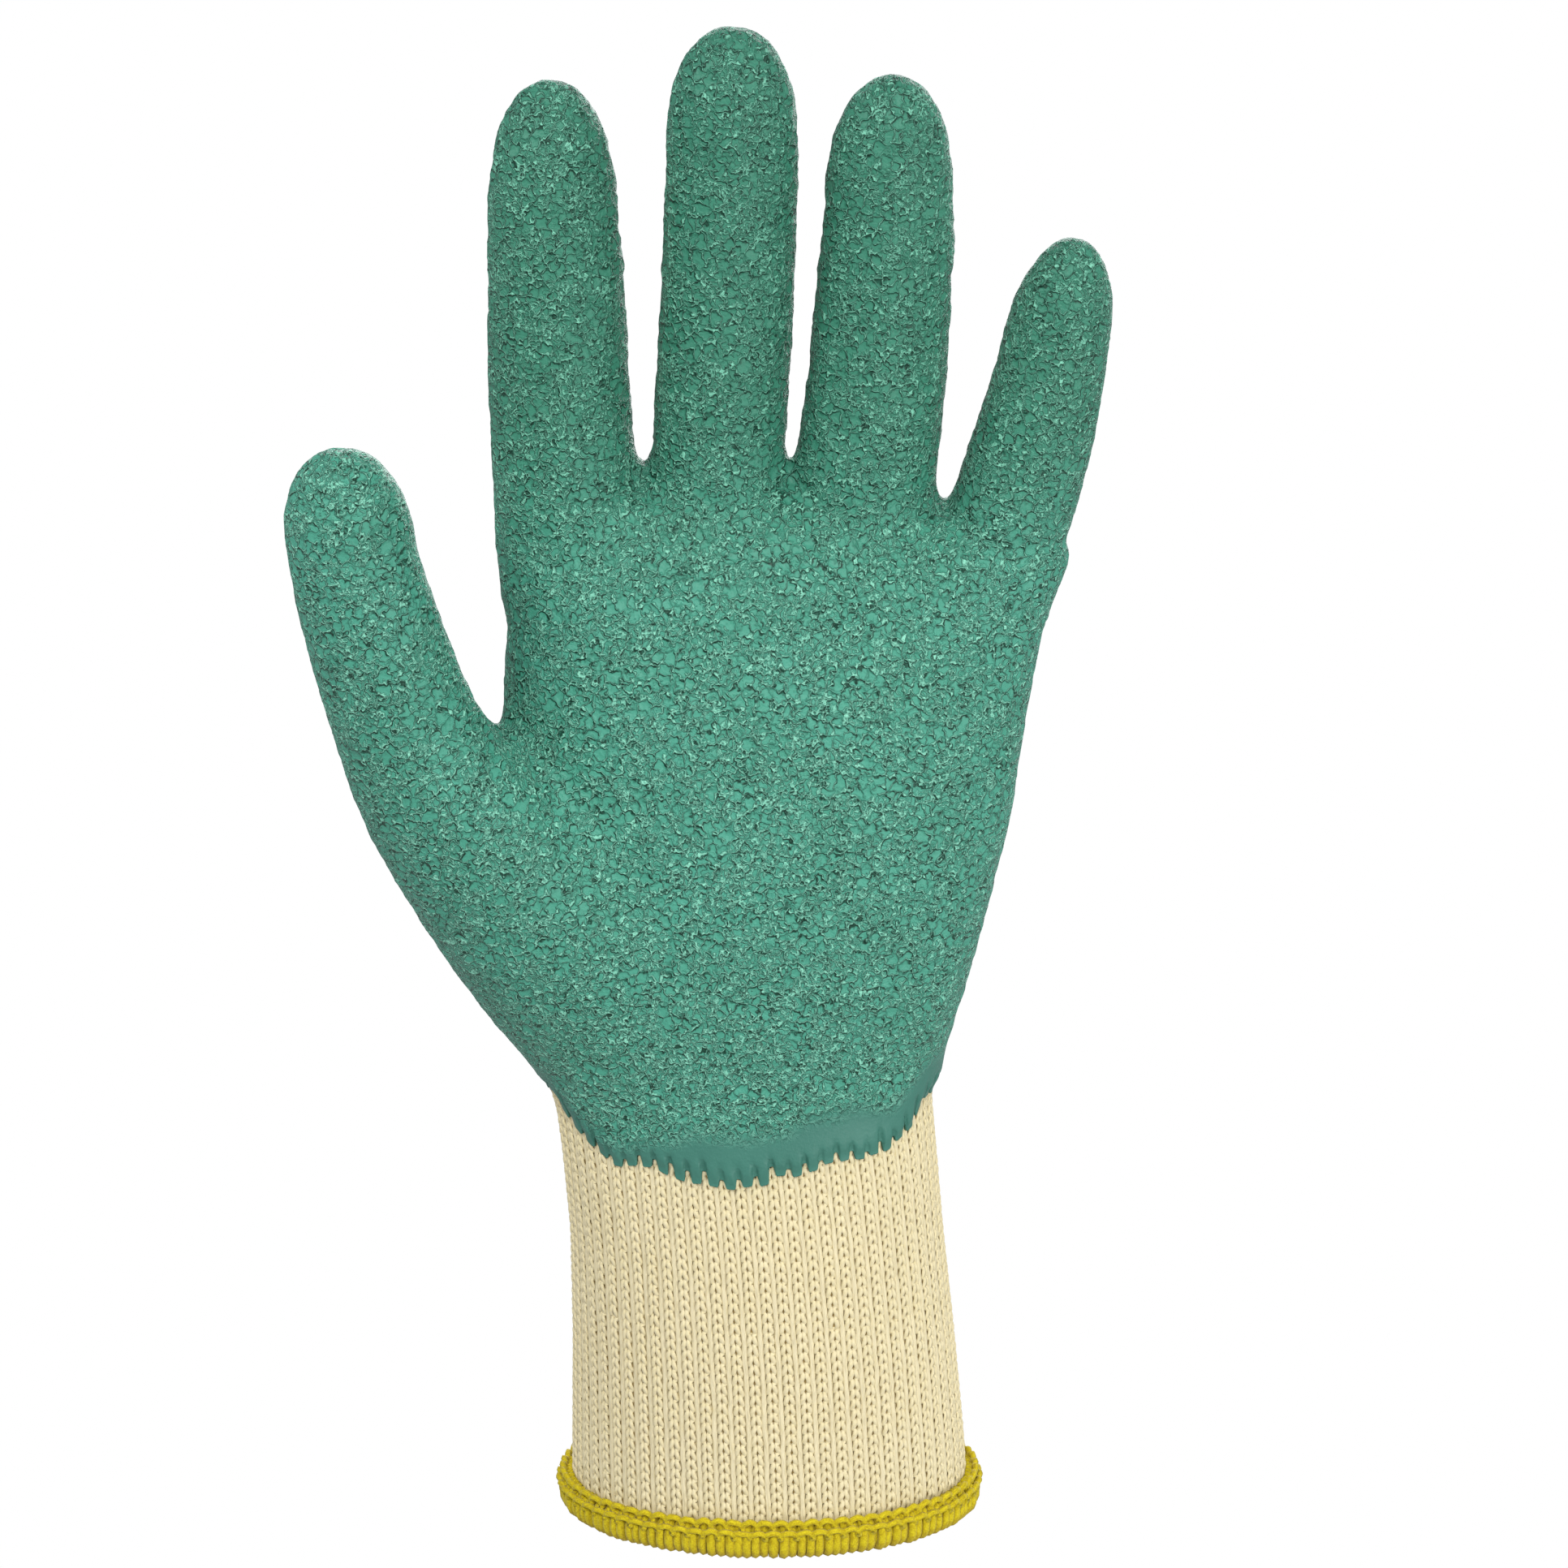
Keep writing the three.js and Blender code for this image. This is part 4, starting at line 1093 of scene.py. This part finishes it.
def hemWraps(patch):
    profile = np.array(hem["profile"])
    share = np.linspace(0, 1, hem["sections"])
    marks = np.linspace(0, 1, len(profile))
    levels, heights = [np.interp(share, marks, column) for column in profile.T]
    perWrap = knit["wales"] / hem["wraps"]
    starts = np.arange(hem["wraps"]) * perWrap + seedPicks.normal(0, 0.06, hem["wraps"])
    wale = starts[:, None] + (share - 0.5) * hem["lean"] / knit["pitch"]
    lift = seedPicks.normal(0, 0.12, (hem["wraps"], 1)) * np.sin(np.pi * share)
    base, normals = onPatch(patch, wale % knit["wales"], heights[None, :] + 0 * wale)
    points = base + normals * (levels + lift)[..., None]
    sideways = np.roll(points, -1, 0) - points
    uneven = seedPicks.uniform(0.86, 1.1, (hem["wraps"], 1))
    thick = hem["thread"] * (0.72 + 0.28 * np.sin(np.pi * share) ** 0.5) * uneven
    tube, faces = tubesAlong(points, sideways, 0.92 * thick, 1.12 * thick, 6, False)
    return meshFrom("hemWraps", tube, faces, threadFinish, tubeCorners(0.9, hem["sections"], 6))


def hemChain(patch, row, order):
    loops = round(knit["wales"] * knit["pitch"] / hem["chainPitch"])
    segments = hem["segments"]
    t = 2 * np.pi * np.arange(loops * segments) / segments
    step = knit["wales"] / loops
    across = t / (2 * np.pi) + 0.24 * np.sin(t) - 0.03 * np.sin(2 * t)
    wale = (across + 0.5 * order) * step
    loose = seedPicks.normal(0, 0.09, loops).repeat(segments)
    frontRise = -hem["frontRise"] * np.sin(2 * np.pi * wale / knit["wales"])
    height = row["height"] + frontRise + (row["tall"] + loose) * np.cos(t)
    level = row["proud"] + 0.16 * np.cos(t) + 0.14 * np.cos(2 * t + 0.6)
    base, normals = onPatch(patch, wale[None, :] % knit["wales"], height[None, :])
    points = base + normals * level[None, :, None]
    tube, faces = tubesAlong(points, normals, hem["chainThread"], hem["chainThread"], 5, True)
    return meshFrom("hemChain%d" % (order + 1), tube, faces, threadFinish, tubeCorners(0.4, len(t), 5))


# The roll inside: the wraps' profile drawn in, carried round the cuff as a closed ring
def hemRoll(patch):
    profile = np.array(hem["profile"] + [(-1.2, 5.2)])
    middle = profile.mean(0)
    drawn = middle + (profile - middle) * hem["rollShare"]
    wale = np.linspace(0, knit["wales"], hem["rollSteps"] + 1)[:-1]
    heights = np.maximum(drawn[:, 1], 0.9)[None, :] + 0 * wale[:, None]
    base, normals = onPatch(patch, wale[:, None] + 0 * heights, heights)
    points = base + normals * drawn[None, :, 0, None]
    number = np.arange(points.shape[0] * points.shape[1]).reshape(points.shape[:2])
    after = np.roll(number, -1, 0)
    quads = np.stack([number, after, np.roll(after, -1, 1), np.roll(number, -1, 1)], -1).reshape(-1, 4)
    corners = tubeCorners(1.0, hem["rollSteps"], len(profile))
    return meshFrom("hemRoll", points.reshape(-1, 3), [quads], threadFinish, corners)


edgePatch = patchMap(bodyPoint, allWales, np.linspace(0, 12, 7))
hemPieces = [hemRoll(edgePatch), hemWraps(edgePatch)]
hemPieces += [hemChain(edgePatch, row, order) for order, row in enumerate(hem["chains"])]
for piece in hemPieces:
    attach(piece, "root")
    printSize(piece)
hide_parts("knit_liner")
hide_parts("cuff_hem")

print("sizes written")
